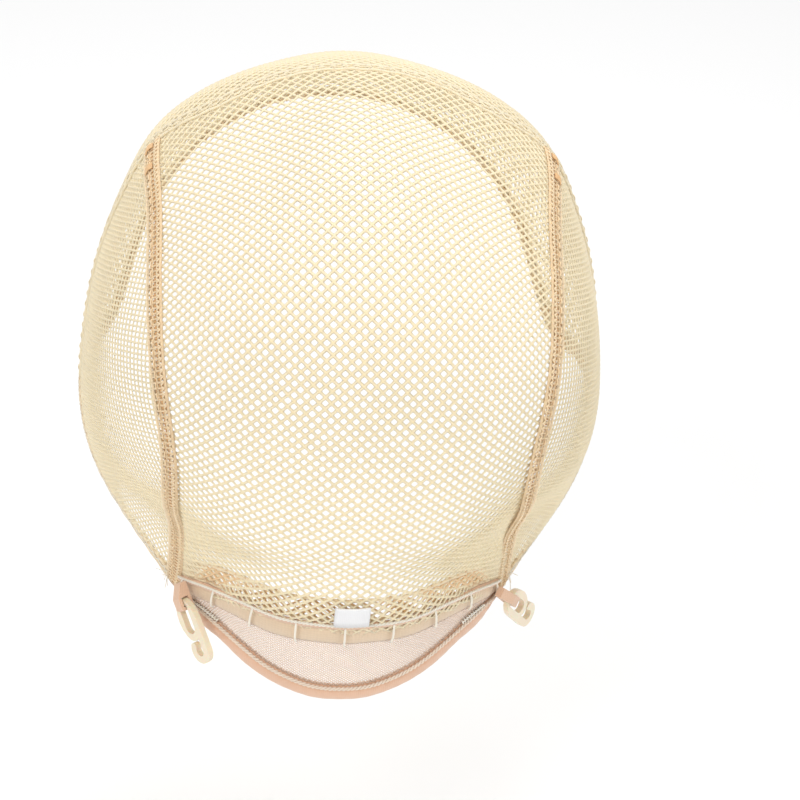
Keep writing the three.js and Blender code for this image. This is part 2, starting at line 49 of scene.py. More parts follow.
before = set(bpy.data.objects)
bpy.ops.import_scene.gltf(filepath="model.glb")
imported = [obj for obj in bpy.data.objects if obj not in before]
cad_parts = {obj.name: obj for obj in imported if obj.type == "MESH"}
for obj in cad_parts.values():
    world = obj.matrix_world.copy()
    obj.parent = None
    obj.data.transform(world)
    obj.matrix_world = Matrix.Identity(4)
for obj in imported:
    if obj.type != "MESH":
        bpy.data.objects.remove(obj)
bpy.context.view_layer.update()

# Head that the cap is cut for, in metres
HALF_WIDTH = 0.076
HALF_LENGTH = 0.085
CROWN_HEIGHT = 0.080
HEAD_SIZE = np.array([HALF_WIDTH, HALF_LENGTH, CROWN_HEIGHT])
HEAD_CENTRE = np.array([0.0, 0.0, -CROWN_HEIGHT])

# Head form: one row for each step down from the crown, one column for each direction around
# the head, where 1 lies on the ellipsoid of the three head sizes
HEAD_ROW_STEP = math.radians(15)
HEAD_COLUMNS = ("back", "back corner", "side", "front corner", "front")
HEAD_ROWS = np.array(
    [
        (1.0, 1.0, 1.0, 1.0, 1.0),
        (1.013, 0.985, 1.004, 1.004, 1.0),
        (1.028, 0.97, 1.02, 1.0, 1.0),
        (1.037, 0.97, 1.03, 0.99, 1.005),
        (1.032, 0.985, 0.985, 1.0, 1.05),
        (1.014, 1.005, 0.965, 1.02, 1.105),
        (0.992, 0.994, 0.973, 1.038, 1.128),
        (0.986, 0.975, 1.02, 1.045, 1.12),
        (1.003, 0.957, 1.07, 1.042, 1.1),
        (1.109, 1.073, 1.1, 1.04, 1.043),
        (1.369, 1.352, 1.174, 1.1, 1.1),
        (1.87, 1.64, 1.33, 1.15, 1.15),
    ]
)

# Sewing lines as places near the head: shares of half width, half length and crown height.
# One side is written down, and the other mirrors it.
SEAM_TOP = (0.705, 0.0, 0.755)
CASING_END = (0.575, -0.43, -0.765)
EAR_TOP = (1.0, 0.035, -0.285)
CROSS_LINE = (
    (0.0, 0.075, 1.0),
    (0.27, 0.04, 0.97),
    (0.48, -0.015, 0.885),
    SEAM_TOP,
    (0.86, 0.01, 0.5),
    (0.96, 0.02, 0.2),
    (0.98, 0.03, -0.05),
    EAR_TOP,
)
SEAM_LINE = (
    SEAM_TOP,
    (0.697, -0.26, 0.66),
    (0.695, -0.47, 0.51),
    (0.68, -0.66, 0.32),
    (0.65, -0.75, 0.12),
    (0.625, -0.76, -0.07),
    (0.592, -0.62, -0.38),
    (0.585, -0.52, -0.61),
    CASING_END,
)
CASING_LINE = (
    CASING_END,
    (0.49, -0.57, -0.765),
    (0.39, -0.66, -0.77),
    (0.25, -0.73, -0.785),
    (0.1, -0.78, -0.787),
    (0.0, -0.785, -0.787),
)
NAPE_LINE = (
    (0.545, -0.5, -0.88),
    (0.455, -0.6, -0.93),
    (0.355, -0.65, -0.99),
    (0.2, -0.695, -1.06),
    (0.09, -0.705, -1.085),
    (0.0, -0.71, -1.09),
)
EAR_LINE = (
    (0.79, -0.3, -0.71),
    (0.88, -0.24, -0.61),
    (0.945, -0.16, -0.5),
    (0.99, -0.05, -0.36),
    EAR_TOP,
    (0.993, 0.21, -0.247),
    (0.96, 0.349, -0.259),
    (0.895, 0.489, -0.247),
    (0.816, 0.617, -0.099),
    (0.684, 0.72, 0.148),
    (0.5, 0.826, 0.334),
    (0.263, 0.896, 0.445),
    (0.0, 0.92, 0.48),
)

# Widths of the sewn strips
SEAM_WIDTH = 0.0053
CROSS_SEAM_WIDTH = 0.0040
CROWN_HEM_WIDTH = 0.0080
PIPING_WIDTH = 0.0020
PIPING_YARN = 0.0007
CASING_WIDTH = 0.0060
BINDING_WIDTH = 0.0063
BINDING_RISE = 0.014
BINDING_PLACES = 12
EDGE_HEM_WIDTH = 0.0040
LINE_SAMPLES = 160

# Samples of a panel's rows, and of each row
PANEL_SAMPLES = 181

# How far a panel's net runs on under the strip that covers its edge
TUCK = 0.0018

# Soft folds that run out over the nets from the nape corners: their height, how many go
# round a corner, where they start and fade out, how they waver, and each side's phase
FOLD_HEIGHT = 0.0009
FOLDS_ROUND = 7
FOLD_START = 0.02
FOLD_FADE = 0.07
FOLD_WAVER = 0.25
FOLD_WAVE = 0.021
FOLD_PHASES = ((-1, 0.4), (1, 1.9))

# Heights above the head of the middle of each layer of net
NET_LIFT = 0.0005
UPPER_NET_LIFT = 0.0012

# Knotted net. Spreads of what varies: places as shares of a mesh, holes, and heights.
PLACE_SPREAD = 0.035
HOLE_SPREAD = 0.04
HEIGHT_SPREAD = 0.06

# Heights of knots and strands above the net's middle as shares of the yarn, how much lower
# the underside is, how far a hole's corners are rounded off, and the strands' knot shade
KNOT_RISE = 0.55
STRAND_RISE = 0.4
UNDERSIDE = 0.8
HOLE_CORNER = 0.92
STRAND_SHADE = 0.45

# Doubled strips: knot shade of a layer, the cord in each fold, with its share of the yarn's
# width, its shade, its samples and its waves, and what both folds add to the cloth's area
LAYER_SHADE = 0.8
FOLD_CORD = 0.6
FOLD_SHADE = 0.3
FOLD_STEP = 0.0015
FOLD_WAVE_HEIGHT = 0.0001
FOLD_WAVE_LENGTH = 0.0011
FOLD_ALLOWANCE = 1.1

# Stitches: height on a seam, a zigzag's rise and its radius as a share of the thread, a short
# stitch's arch and dip as shares of its radius, its shade, and the sides of a thread
STITCH_HEIGHT = 0.0017
ZIGZAG_RISE = 0.0002
ZIGZAG_THREAD = 0.36
STITCH_ARCH = 1.5
STITCH_DIP = 0.8
STITCH_SHADE = 0.5
THREAD_SIDES = 5

# Least side given for a sheet's flat size
LEAST_FLAT = 0.01

# Camera: place in the photograph's frame of the head's centre, and the view onto it
FRAME_PIXELS = 800
HEAD_PIXEL = (342.6, 332.8)
PIXELS_PER_METRE = 3425
CAMERA_DISTANCE = 0.8
CAMERA_RISE = math.radians(29.2)
CAMERA_YAW = math.radians(-4.5)
CAMERA_ROLL = math.radians(3.26)
SENSOR_WIDTH = 36

# Stage: half the floor's width, its height, the sky's strength, and each lamp's name, place,
# width and power
FLOOR_REACH = 3.0
FLOOR_LEVEL = -0.26
SKY_STRENGTH = 0.6
LAMPS = (
    ("key", (-0.7, -0.9, 0.8), 0.6, 7.0),
    ("fill", (0.9, -0.8, 0.4), 0.8, 3.5),
    ("top", (0.1, 0.4, 1.2), 0.8, 9.0),
)


def unit(vectors):
    return vectors / np.linalg.norm(vectors, axis=-1, keepdims=True)


def lerp(a, b, share):
    return a + (b - a) * share


def column_series():
    """Cosine series that passes smoothly through the columns of the head form."""
    last = len(HEAD_COLUMNS) - 1
    index = np.arange(last + 1)
    ends = np.where((index == 0) | (index == last), 0.5, 1.0)
    return (2 / last) * np.cos(np.pi * np.outer(index, index) / last) * np.outer(ends, ends)


COLUMN_SERIES = column_series()


def fullness(directions):
    """How far the head stands out along unit directions, as a share of the ellipsoid."""
    turn = np.arctan2(np.abs(directions[..., 0]), -directions[..., 1])
    weights = np.cos(turn[..., None] * np.arange(len(HEAD_COLUMNS))) @ COLUMN_SERIES
    place = np.arccos(np.clip(directions[..., 2], -1, 1)) / HEAD_ROW_STEP
    row = np.floor(place).astype(int)
    t = place - row
    a, b, c, d = [
        (HEAD_ROWS[np.clip(np.abs(row + step), 0, len(HEAD_ROWS) - 1)] * weights).sum(-1)
        for step in (-1, 0, 1, 2)
    ]
    return b + 0.5 * t * (c - a + t * (2 * a - 5 * b + 4 * c - d + t * (3 * (b - c) + d - a)))


def on_head(directions):
    along = unit(directions)
    return along * fullness(along)[..., None] * HEAD_SIZE + HEAD_CENTRE


def outward(directions):
    """Normals of the head at directions."""
    step = 0.01
    along = unit(directions)
    side = np.cross((1.0, 0.0, 0.0), along)
    flat = np.linalg.norm(side, axis=-1, keepdims=True) < 0.5
    side = unit(np.where(flat, np.cross((0.0, 1.0, 0.0), along), side)) * step
    rise = np.cross(along, side)
    first = on_head(along + side) - on_head(along - side)
    second = on_head(along + rise) - on_head(along - rise)
    return unit(np.cross(first, second))


def cloth_point(directions, lift):
    lift = np.asarray(lift, float)
    return on_head(directions) + outward(directions) * lift[..., None]


def moved(directions, shift):
    return unit((on_head(directions) + shift - HEAD_CENTRE) / HEAD_SIZE)


def smooth(places):
    """Centripetal spline through places, with a sample at each of them."""
    points = np.array(places, float)
    ends = (2 * points[0] - points[1], 2 * points[-1] - points[-2])
    padded = np.vstack([ends[0], points, ends[1]])
    per_place = math.ceil(LINE_SAMPLES / (len(points) - 1))
    t = np.linspace(0, 1, per_place, endpoint=False)[:, None]
    pieces = []
    for a, b, c, d in zip(padded, padded[1:], padded[2:], padded[3:]):
        legs = (b - a, c - b, d - c)
        before, here, after = [math.sqrt(np.linalg.norm(leg)) for leg in legs]
        start = here * ((b - a) / before - (c - a) / (before + here) + (c - b) / here)
        end = here * ((c - b) / here - (d - b) / (here + after) + (d - c) / after)
        cubic = 2 * b - 2 * c + start + end
        square = 3 * c - 3 * b - 2 * start - end
        pieces.append(b + start * t + square * t**2 + cubic * t**3)
    return unit(np.vstack([*pieces, points[-1:]]))


def side_places(rows, side):
    return [unit(np.array(row) * (side, 1, 1)) for row in rows]


def both_sides(rows):
    """One line from the wearer's left to the middle and on to the right."""
    return side_places(rows, -1) + side_places(rows, 1)[::-1][1:]


def marks(line):
    """Distance along a line from its start to each of its points."""
    steps = np.linalg.norm(np.diff(on_head(line), axis=0), axis=1)
    return np.concatenate([[0.0], np.cumsum(steps)])


def length_of(line):
    return marks(line)[-1]


def point_at(line, distances):
    """Directions at distances from the start of a line."""
    along = marks(line)
    return unit(np.stack([np.interp(distances, along, line[:, axis]) for axis in range(3)], -1))


def stretch(line, start, end, count=LINE_SAMPLES):
    return point_at(line, np.linspace(start, end, count + 1))


def reach(line, direction):
    """Distance along a line of its point nearest to a direction."""
    points, target = on_head(line), on_head(np.asarray(direction, float))
    legs = np.diff(points, axis=0)
    share = np.clip(((target - points[:-1]) * legs).sum(1) / (legs**2).sum(1), 0, 1)
    gaps = np.linalg.norm(points[:-1] + legs * share[:, None] - target, axis=1)
    nearest = int(np.argmin(gaps))
    along = marks(line)
    return lerp(along[nearest], along[nearest + 1], share[nearest])


def crossing(first, second, guess):
    """Distances along two lines to the place where they cross, found from a guess."""
    point = guess
    for _ in range(12):
        on_first = reach(first, point)
        on_second = reach(second, point_at(first, on_first))
        point = point_at(second, on_second)
    return on_first, on_second


def beside(line, distance):
    """Line on the left of another one, as seen from outside."""
    travel = np.gradient(on_head(line), axis=0)
    return moved(line, unit(np.cross(outward(line), travel)) * distance)


def pinned(line, start, end):
    """Moves both ends of a line to given places and carries the rest along."""
    share = np.linspace(0, 1, len(line))[:, None]
    return unit(line + (start - line[0]) * (1 - share) + (end - line[-1]) * share)


class SideSeam:
    """Edges of one side seam, from the crown down to the nape corner."""

    def __init__(self, side):
        self.side = side
        self.top = np.array(SEAM_TOP) * (side, 1, 1)
        self.inner = smooth(side_places(SEAM_LINE, side))
        free = beside(self.inner, side * SEAM_WIDTH)
        start = reach(CROSS_BACK, self.top) + side * SEAM_WIDTH
        self.outer = pinned(free, point_at(CROSS_BACK, start), free[-1])


CROSS_BACK = smooth(both_sides(CROSS_LINE[::-1]))
LEFT, RIGHT = SideSeam(-1), SideSeam(1)
EDGE = smooth([LEFT.outer[-1], *both_sides(EAR_LINE), RIGHT.outer[-1]])
HEM = pinned(
    beside(EDGE, -EDGE_HEM_WIDTH),
    point_at(LEFT.outer, length_of(LEFT.outer) - EDGE_HEM_WIDTH),
    point_at(RIGHT.outer, length_of(RIGHT.outer) - EDGE_HEM_WIDTH),
)
EARS = [crossing(CROSS_BACK, HEM, side_places([EAR_TOP], side)[0]) for side in (-1, 1)]
SEAM_ACROSS = stretch(CROSS_BACK, EARS[0][0], EARS[1][0])
FRONT_ENDS = [reach(HEM, beside(SEAM_ACROSS, CROSS_SEAM_WIDTH)[end]) for end in (0, -1)]
SEAM_AHEAD = pinned(
    beside(SEAM_ACROSS, CROSS_SEAM_WIDTH), *[point_at(HEM, end) for end in FRONT_ENDS]
)


def across_nape(line, above):
    """Pins a line over the nape to both side seams, at a height above their ends."""
    ends = [point_at(seam.inner, length_of(seam.inner) - above) for seam in (LEFT, RIGHT)]
    return pinned(line, *ends)


CASING_BOTTOM = smooth(both_sides(CASING_LINE))
CASING_TOP = across_nape(beside(CASING_BOTTOM, CASING_WIDTH), CASING_WIDTH)
PIPING_TOP = across_nape(beside(CASING_TOP, PIPING_WIDTH), CASING_WIDTH + PIPING_WIDTH)
CROWN_END = CASING_WIDTH + PIPING_WIDTH + CROWN_HEM_WIDTH
CROWN_HEM_TOP = across_nape(beside(PIPING_TOP, CROWN_HEM_WIDTH), CROWN_END)
NAPE_EDGE = smooth([LEFT.outer[-1], *both_sides(NAPE_LINE), RIGHT.outer[-1]])
BINDING_START = BINDING_WIDTH - SEAM_WIDTH
FULL_RIM = stretch(NAPE_EDGE, BINDING_RISE, length_of(NAPE_EDGE) - BINDING_RISE, BINDING_PLACES)
BINDING_TOP = smooth(
    [
        point_at(CASING_BOTTOM, BINDING_START),
        *beside(FULL_RIM, BINDING_WIDTH),
        point_at(CASING_BOTTOM, length_of(CASING_BOTTOM) - BINDING_START),
    ]
)


class Strip:
    """Ground between two sewing lines. Along runs with them, across from first to second."""

    def __init__(self, first, second, start=0.0, end=1.0):
        part = lambda line: stretch(line, start * length_of(line), end * length_of(line))
        self.first, self.second = part(first), part(second)
        self.length = (length_of(first) + length_of(second)) / 2 * (end - start)
        self.width = np.linalg.norm(on_head(self.first) - on_head(self.second), axis=1).mean()

    def direction(self, along, across):
        place = np.clip(along / self.length, 0, 1) * (len(self.first) - 1)
        index = np.clip(np.floor(place).astype(int), 0, len(self.first) - 2)
        share = (place - index)[..., None]
        first = lerp(self.first[index], self.first[index + 1], share)
        second = lerp(self.second[index], self.second[index + 1], share)
        return lerp(first, second, (across / self.width)[..., None])

    def place(self, along, across, lift):
        return cloth_point(self.direction(along, across), lift)


def fan_grid(tilts, reach_across):
    """Directions in rows that spread to both sides of the back's middle line."""
    tilt = np.linspace(*tilts, PANEL_SAMPLES)[:, None]
    lean = np.linspace(-reach_across, reach_across, PANEL_SAMPLES)[None, :]
    rows = np.cos(lean)
    parts = (np.sin(lean), -rows * np.sin(tilt), rows * np.cos(tilt))
    return np.stack(np.broadcast_arrays(*parts), -1)


def level_grid(turn, lean, falls, reach_across):
    """Directions in level rows round an upright axis that leans forward."""
    fall = np.linspace(*falls, PANEL_SAMPLES)[:, None]
    spread = turn + np.linspace(-reach_across, reach_across, PANEL_SAMPLES)[None, :]
    round_it = np.sin(fall)
    parts = (round_it * np.sin(spread), -round_it * np.cos(spread), np.cos(fall))
    level = np.stack(np.broadcast_arrays(*parts), -1)
    return level @ np.array(Matrix.Rotation(-lean, 3, "X")).T


class Panel:
    """Ground of a whole panel: down runs along its middle line and across to each side,
    both as lengths of cloth."""

    STEP = 0.0015

    def __init__(self, fanned, outline):
        points = on_head(fanned)
        middle = fanned.shape[1] // 2
        sideways = np.linalg.norm(np.diff(points, axis=1), axis=2)
        across = np.concatenate([np.zeros((len(points), 1)), np.cumsum(sideways, axis=1)], axis=1)
        across -= across[:, middle : middle + 1]
        downwards = np.linalg.norm(np.diff(points[:, middle], axis=0), axis=1)
        down = np.concatenate([[0.0], np.cumsum(downwards)])
        self.down_length = down[-1]
        self.reach = max(-across[:, 0].min(), across[:, -1].max())
        downs = np.arange(0, self.down_length, self.STEP)
        acrosses = np.arange(-self.reach, self.reach, self.STEP)
        table = np.zeros((len(down), len(acrosses), 3))
        for row in range(len(down)):
            for part in range(3):
                table[row, :, part] = np.interp(acrosses, across[row], fanned[row, :, part])
        place = np.interp(downs, down, np.arange(len(down)))
        index = np.clip(np.floor(place).astype(int), 0, len(down) - 2)
        share = (place - index)[:, None, None]
        self.table = lerp(table[index], table[index + 1], share)
        self.outline = self.locate(outline)

    def direction(self, across, down):
        rows, columns = self.table.shape[:2]
        x = np.clip((across + self.reach) / self.STEP, 0, columns - 1.001)
        y = np.clip(down / self.STEP, 0, rows - 1.001)
        i, j = x.astype(int), y.astype(int)
        u, v = (x - i)[..., None], (y - j)[..., None]
        upper = lerp(self.table[j, i], self.table[j, i + 1], u)
        lower = lerp(self.table[j + 1, i], self.table[j + 1, i + 1], u)
        return unit(lerp(upper, lower, v))

    def place(self, across, down, lift):
        directions = self.direction(across, down)
        return cloth_point(directions, lift + pulls(on_head(directions)))

    def locate(self, line):
        """Across and down of the directions of a line."""
        flat = unit(self.table).reshape(-1, 3)
        nearest = np.argmax(unit(line) @ flat.T, axis=1)
        columns = self.table.shape[1]
        spot = np.stack([nearest % columns, nearest // columns], -1) * self.STEP
        spot = spot - (self.reach, 0)
        nudge = self.STEP / 2
        for _ in range(4):
            here = self.direction(spot[:, 0], spot[:, 1])
            along_x = (self.direction(spot[:, 0] + nudge, spot[:, 1]) - here) / nudge
            along_y = (self.direction(spot[:, 0], spot[:, 1] + nudge) - here) / nudge
            miss = unit(line) - here
            xx, xy, yy = (along_x**2).sum(1), (along_x * along_y).sum(1), (along_y**2).sum(1)
            mx, my = (along_x * miss).sum(1), (along_y * miss).sum(1)
            det = np.maximum(xx * yy - xy * xy, 1e-9)
            spot = spot + np.stack([(yy * mx - xy * my) / det, (xx * my - xy * mx) / det], -1)
        return spot

    def covers(self, across, down, margin):
        """Whether places lie inside the outline, or outside it by less than a margin."""
        first, second = self.outline, np.roll(self.outline, -1, axis=0)
        point = np.stack([across, down], -1)[:, None, :]
        leg = second - first
        rising = (first[:, 1] > point[..., 1]) != (second[:, 1] > point[..., 1])
        height = np.where(leg[:, 1] == 0, 1e-12, leg[:, 1])
        crossing = first[:, 0] + leg[:, 0] * (point[..., 1] - first[:, 1]) / height
        inside = (rising & (point[..., 0] < crossing)).sum(1) % 2 == 1
        share = ((point - first) * leg).sum(-1) / np.maximum((leg**2).sum(-1), 1e-12)
        nearest = first + leg * np.clip(share, 0, 1)[..., None]
        gap = np.linalg.norm(point - nearest, axis=-1).min(1)
        return inside | (gap < margin)


def new_piece(name, points, faces, material, slot, smooth_shading=True, **attributes):
    """A named mesh that rides on the cap, with one float attribute for each keyword."""
    mesh = bpy.data.meshes.new(name)
    mesh.from_pydata(np.asarray(points).tolist(), [], [list(map(int, face)) for face in faces])
    mesh.update()
    for label, values in attributes.items():
        attribute = mesh.attributes.new(label, "FLOAT", "POINT")
        attribute.data.foreach_set("value", np.asarray(values, np.float32))
    mesh.polygons.foreach_set("use_smooth", [smooth_shading] * len(mesh.polygons))
    piece = bpy.data.objects.new(name, mesh)
    bpy.context.scene.collection.objects.link(piece)
    piece.data.materials.append(material)
    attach(piece, "root")
    return piece


def pulls(points):
    """Height of the soft folds that run out from both nape corners over the nets."""
    height = np.zeros(len(points))
    for side, phase in FOLD_PHASES:
        corner = on_head(side_places([CASING_END], side)[0])
        away = points - corner
        distance = np.linalg.norm(away, axis=1)
        waver = FOLD_WAVER * np.sin(distance / FOLD_WAVE + phase)
        swing = np.arctan2(away[:, 2], side * away[:, 0]) + waver
        rise = np.clip(distance / FOLD_START, 0, 1) * np.exp(-((distance / FOLD_FADE) ** 2))
        height += FOLD_HEIGHT * rise * np.sin(swing * FOLDS_ROUND + phase)
    return height


class Mesh:
    """Points and faces of several parts, gathered into one piece."""

    def __init__(self):
        self.points, self.faces, self.marks, self.count = [], [], [], 0

    def add(self, points, faces, mark=0.0):
        self.points.append(np.asarray(points, float))
        self.faces += [[index + self.count for index in face] for face in faces]
        self.marks.append(np.broadcast_to(np.asarray(mark, float), (len(points),)))
        self.count += len(points)

    def tube(self, path, radius, mark=0.0, sides=THREAD_SIDES):
        self.add(*tube_parts(path, radius, sides), mark)

    def piece(self, name, material, slot):
        points, shades = np.vstack(self.points), np.concatenate(self.marks)
        return new_piece(name, points, self.faces, material, slot, shade=shades)


def square_net_parts(place, covers, size, pitch, yarn, lift, random, offset=(0.0, 0.0)):
    """Net whose yarns run along both directions of its ground, at two pitches."""
    mean = math.sqrt(pitch[0] * pitch[1])
    spread = np.array(pitch) / mean * math.sqrt(0.5)

    def turned(x, y):
        return (x + y) * spread[0] + offset[0], (y - x) * spread[1] + offset[1]

    (low_x, high_x), (low_y, high_y) = np.array(size) / spread[:, None] / 2
    sizes = [(low_x - high_y, high_x - low_y), (low_x + low_y, high_x + high_y)]
    cell = (mean * math.sqrt(2), mean * math.sqrt(2))
    turned_place = lambda x, y, height: place(*turned(x, y), height)
    turned_covers = lambda x, y: covers(*turned(x, y))
    return net_parts(turned_place, turned_covers, sizes, cell, yarn, lift, random)


def net_parts(place, covers, size, cell, yarn, lift, random, offset=(0.0, 0.0)):
    """Points, faces, knot marks and cloth area of a knotted net.

    Each mesh of the net is a ring of eight faces above and eight below, between the yarn's
    ridge, shared with the next mesh, and the rim of the hole."""
    (low_x, high_x), (low_y, high_y) = size
    half = np.array(cell) / 2
    columns = int((high_x - low_x) / half[0])
    rows = int((high_y - low_y) / half[1])
    i, j = np.meshgrid(np.arange(1, columns), np.arange(1, rows), indexing="ij")
    i, j = i[(i + j) % 2 == 1], j[(i + j) % 2 == 1]
    x = low_x + offset[0] + i * half[0]
    y = low_y + offset[1] + j * half[1]
    kept = covers(x, y)
    i, j, x, y = i[kept], j[kept], x[kept], y[kept]
    ring = np.array([(2, 0), (1, 1), (0, 2), (-1, 1), (-2, 0), (-1, -1), (0, -2), (1, -1)])
    keys = (2 * i[:, None] + ring[:, 0] + 4) * 100000 + 2 * j[:, None] + ring[:, 1] + 4
    unique, ids = np.unique(keys, return_inverse=True)
    ids = ids.reshape(keys.shape)
    ridge_x = low_x + offset[0] + (unique // 100000 - 4) * half[0] / 2
    ridge_y = low_y + offset[1] + (unique % 100000 - 4) * half[1] / 2
    knot = (unique // 100000) % 2 == 0
    shake = random.normal(0, PLACE_SPREAD, (2, len(unique))) * half[:, None]
    ridge_x, ridge_y = ridge_x + shake[0], ridge_y + shake[1]
    side = half.prod() / np.hypot(*half)
    tight = 1 - yarn / 2 / side
    reach_of_rim = np.where((ring != 0).all(1), tight, tight * HOLE_CORNER)[:, None]
    rim = ring * half / 2 * reach_of_rim
    swell = random.normal(1, HOLE_SPREAD, (len(i), 1))
    rim_x = x[:, None] + rim[:, 0] * swell
    rim_y = y[:, None] + rim[:, 1] * swell
    total = len(unique)
    rise = np.where(knot, KNOT_RISE, STRAND_RISE) * yarn * random.normal(1, HEIGHT_SPREAD, total)
    points = np.vstack(
        [
            place(ridge_x, ridge_y, lift + rise),
            place(ridge_x, ridge_y, lift - rise * UNDERSIDE),
            place(rim_x.ravel(), rim_y.ravel(), np.full(rim_x.size, lift)),
        ]
    )
    rim_ids = 2 * total + np.arange(rim_x.size).reshape(rim_x.shape)
    following = np.roll(ids, -1, axis=1)
    rim_following = np.roll(rim_ids, -1, axis=1)
    above = np.stack([ids, following, rim_following, rim_ids], -1).reshape(-1, 4)
    below = np.stack([rim_ids, rim_following, following + total, ids + total], -1).reshape(-1, 4)
    edges = np.stack([ids, following], -1).reshape(-1, 2)
    codes = edges[:, 0] * (total + 1) + edges[:, 1]
    twins = edges[:, 1] * (total + 1) + edges[:, 0]
    free = edges[~np.isin(codes, twins)]
    walls = np.stack([free[:, 1], free[:, 0], free[:, 0] + total, free[:, 1] + total], -1)
    shades = np.concatenate([np.where(knot, 1.0, STRAND_SHADE)] * 2 + [np.zeros(rim_x.size)])
    right, top, left, bottom = [points[ids[:, corner]] for corner in (0, 2, 4, 6)]
    area = np.linalg.norm(np.cross(left - right, bottom - top), axis=1).sum() / 2
    return points, np.vstack([above, below, walls]), shades, area


def tube_parts(path, radius, sides):
    """Points and faces of a round cord along a path of points."""
    ahead = unit(np.gradient(path, axis=0))
    seed = np.array([0.0, 0.0, 1.0]) if abs(ahead[0][2]) < 0.8 else np.array([1.0, 0.0, 0.0])
    normals = [unit(np.cross(ahead[0], seed))]
    for direction in ahead[1:]:
        normals.append(unit(normals[-1] - direction * (normals[-1] @ direction)))
    normals = np.array(normals)
    others = np.cross(ahead, normals)
    turns = np.arange(sides) * math.tau / sides
    radius = np.broadcast_to(np.asarray(radius, float), (len(path),))[:, None, None]
    cos, sin = np.cos(turns)[None, :, None], np.sin(turns)[None, :, None]
    round_it = cos * normals[:, None] + sin * others[:, None]
    points = (path[:, None] + round_it * radius).reshape(-1, 3)
    faces = []
    for start in range(0, (len(path) - 1) * sides, sides):
        after = start + sides
        for turn in range(sides):
            beyond = (turn + 1) % sides
            faces.append((start + turn, start + beyond, after + beyond, after + turn))
    ends = range(sides)[::-1], range((len(path) - 1) * sides, len(path) * sides)
    return points, faces + [tuple(end) for end in ends]


def level(height):
    """Height of a side of a sheet that is the same all over."""
    return lambda u, v: np.full_like(u, height)


def sheet_parts(place, length, width, columns, rows, top, bottom):
    """Points and faces of a closed strip of cloth: top and bottom give its heights at
    places along and across, as shares from 0 to 1."""
    u, v = np.meshgrid(np.linspace(0, 1, columns + 1), np.linspace(0, 1, rows + 1), indexing="ij")
    along, across = (u * length).ravel(), (v * width).ravel()
    layers = [place(along, across, height(u, v).ravel()) for height in (top, bottom)]
    count = u.size
    at = np.arange(count).reshape(u.shape)
    quads = np.stack([at[:-1, :-1], at[:-1, 1:], at[1:, 1:], at[1:, :-1]], -1).reshape(-1, 4)
    border = np.concatenate([at[:, 0], at[-1, 1:], at[-2::-1, -1], at[0, -2:0:-1]])
    beyond = np.roll(border, -1)
    walls = np.stack([border, beyond, beyond + count, border + count], -1)
    return np.vstack(layers), np.vstack([quads, quads[:, ::-1] + count, walls])


# Waves that a Wave Texture node of scale 1 draws over one unit of length
WAVES_PER_UNIT = 3.2


class Wire:
    """A shader socket that takes part in expressions."""

    def __init__(self, finish, socket):
        self.finish, self.socket = finish, socket

    def _math(self, operation, first, second):
        return self.finish.wire("ShaderNodeMath", {"operation": operation}, {0: first, 1: second})

    def __add__(self, other):
        return self._math("ADD", self, other)

    def __sub__(self, other):
        return self._math("SUBTRACT", self, other)

    def __rsub__(self, other):
        return self._math("SUBTRACT", other, self)

    def __mul__(self, other):
        return self._math("MULTIPLY", self, other)

    def __pow__(self, other):
        return self._math("POWER", self, other)

    __radd__ = __add__
    __rmul__ = __mul__


class Finish:
    """A material and the short ways in which its nodes are made."""

    def __init__(self, name, roughness, **constants):
        self.material = bpy.data.materials.new(name)
        self.material.use_nodes = True
        self.tree = self.material.node_tree
        self.shader = self.tree.nodes["Principled BSDF"]
        self.shader.inputs["Roughness"].default_value = roughness
        for socket, value in constants.items():
            self.shader.inputs[socket.replace("_", " ")].default_value = value

    def wire(self, kind, settings, sockets, output=0):
        node = self.tree.nodes.new(kind)
        for name, value in settings.items():
            setattr(node, name, value)
        for key, value in sockets.items():
            if isinstance(value, Wire):
                self.tree.links.new(value.socket, node.inputs[key])
            else:
                node.inputs[key].default_value = value
        return Wire(self, node.outputs[output])

    def places(self):
        return self.wire("ShaderNodeTexCoord", {}, {}, "Object")

    def noise(self, size, detail=2.0):
        sockets = {"Vector": self.places(), "Scale": 1 / size, "Detail": detail}
        return self.wire("ShaderNodeTexNoise", {}, sockets, "Fac")

    def stripes(self, size, axis, unevenness):
        settings = {"wave_type": "BANDS", "bands_direction": axis}
        scale = 1 / size / WAVES_PER_UNIT
        sockets = {"Vector": self.places(), "Scale": scale, "Distortion": unevenness, "Detail": 1.0}
        return self.wire("ShaderNodeTexWave", settings, sockets, "Fac")

    def mark(self, name):
        return self.wire("ShaderNodeAttribute", {"attribute_name": name}, {}, "Fac")

    def mix(self, share, first, second):
        return self.wire("ShaderNodeMix", {"data_type": "RGBA"}, {0: share, 6: first, 7: second}, 2)

    def colour(self, wire):
        self.tree.links.new(wire.socket, self.shader.inputs["Base Color"])

    def relief(self, wire, depth, strength=1.0):
        sockets = {"Strength": strength, "Distance": depth, "Height": wire}
        bump = self.wire("ShaderNodeBump", {}, sockets, "Normal")
        self.tree.links.new(bump.socket, self.shader.inputs["Normal"])

    def rough(self, wire):
        self.tree.links.new(wire.socket, self.shader.inputs["Roughness"])


def opaque(colour):
    return (*colour, 1.0)


def shaded(colour, factor):
    return tuple(min(1.0, channel * factor) for channel in colour) + (1.0,)


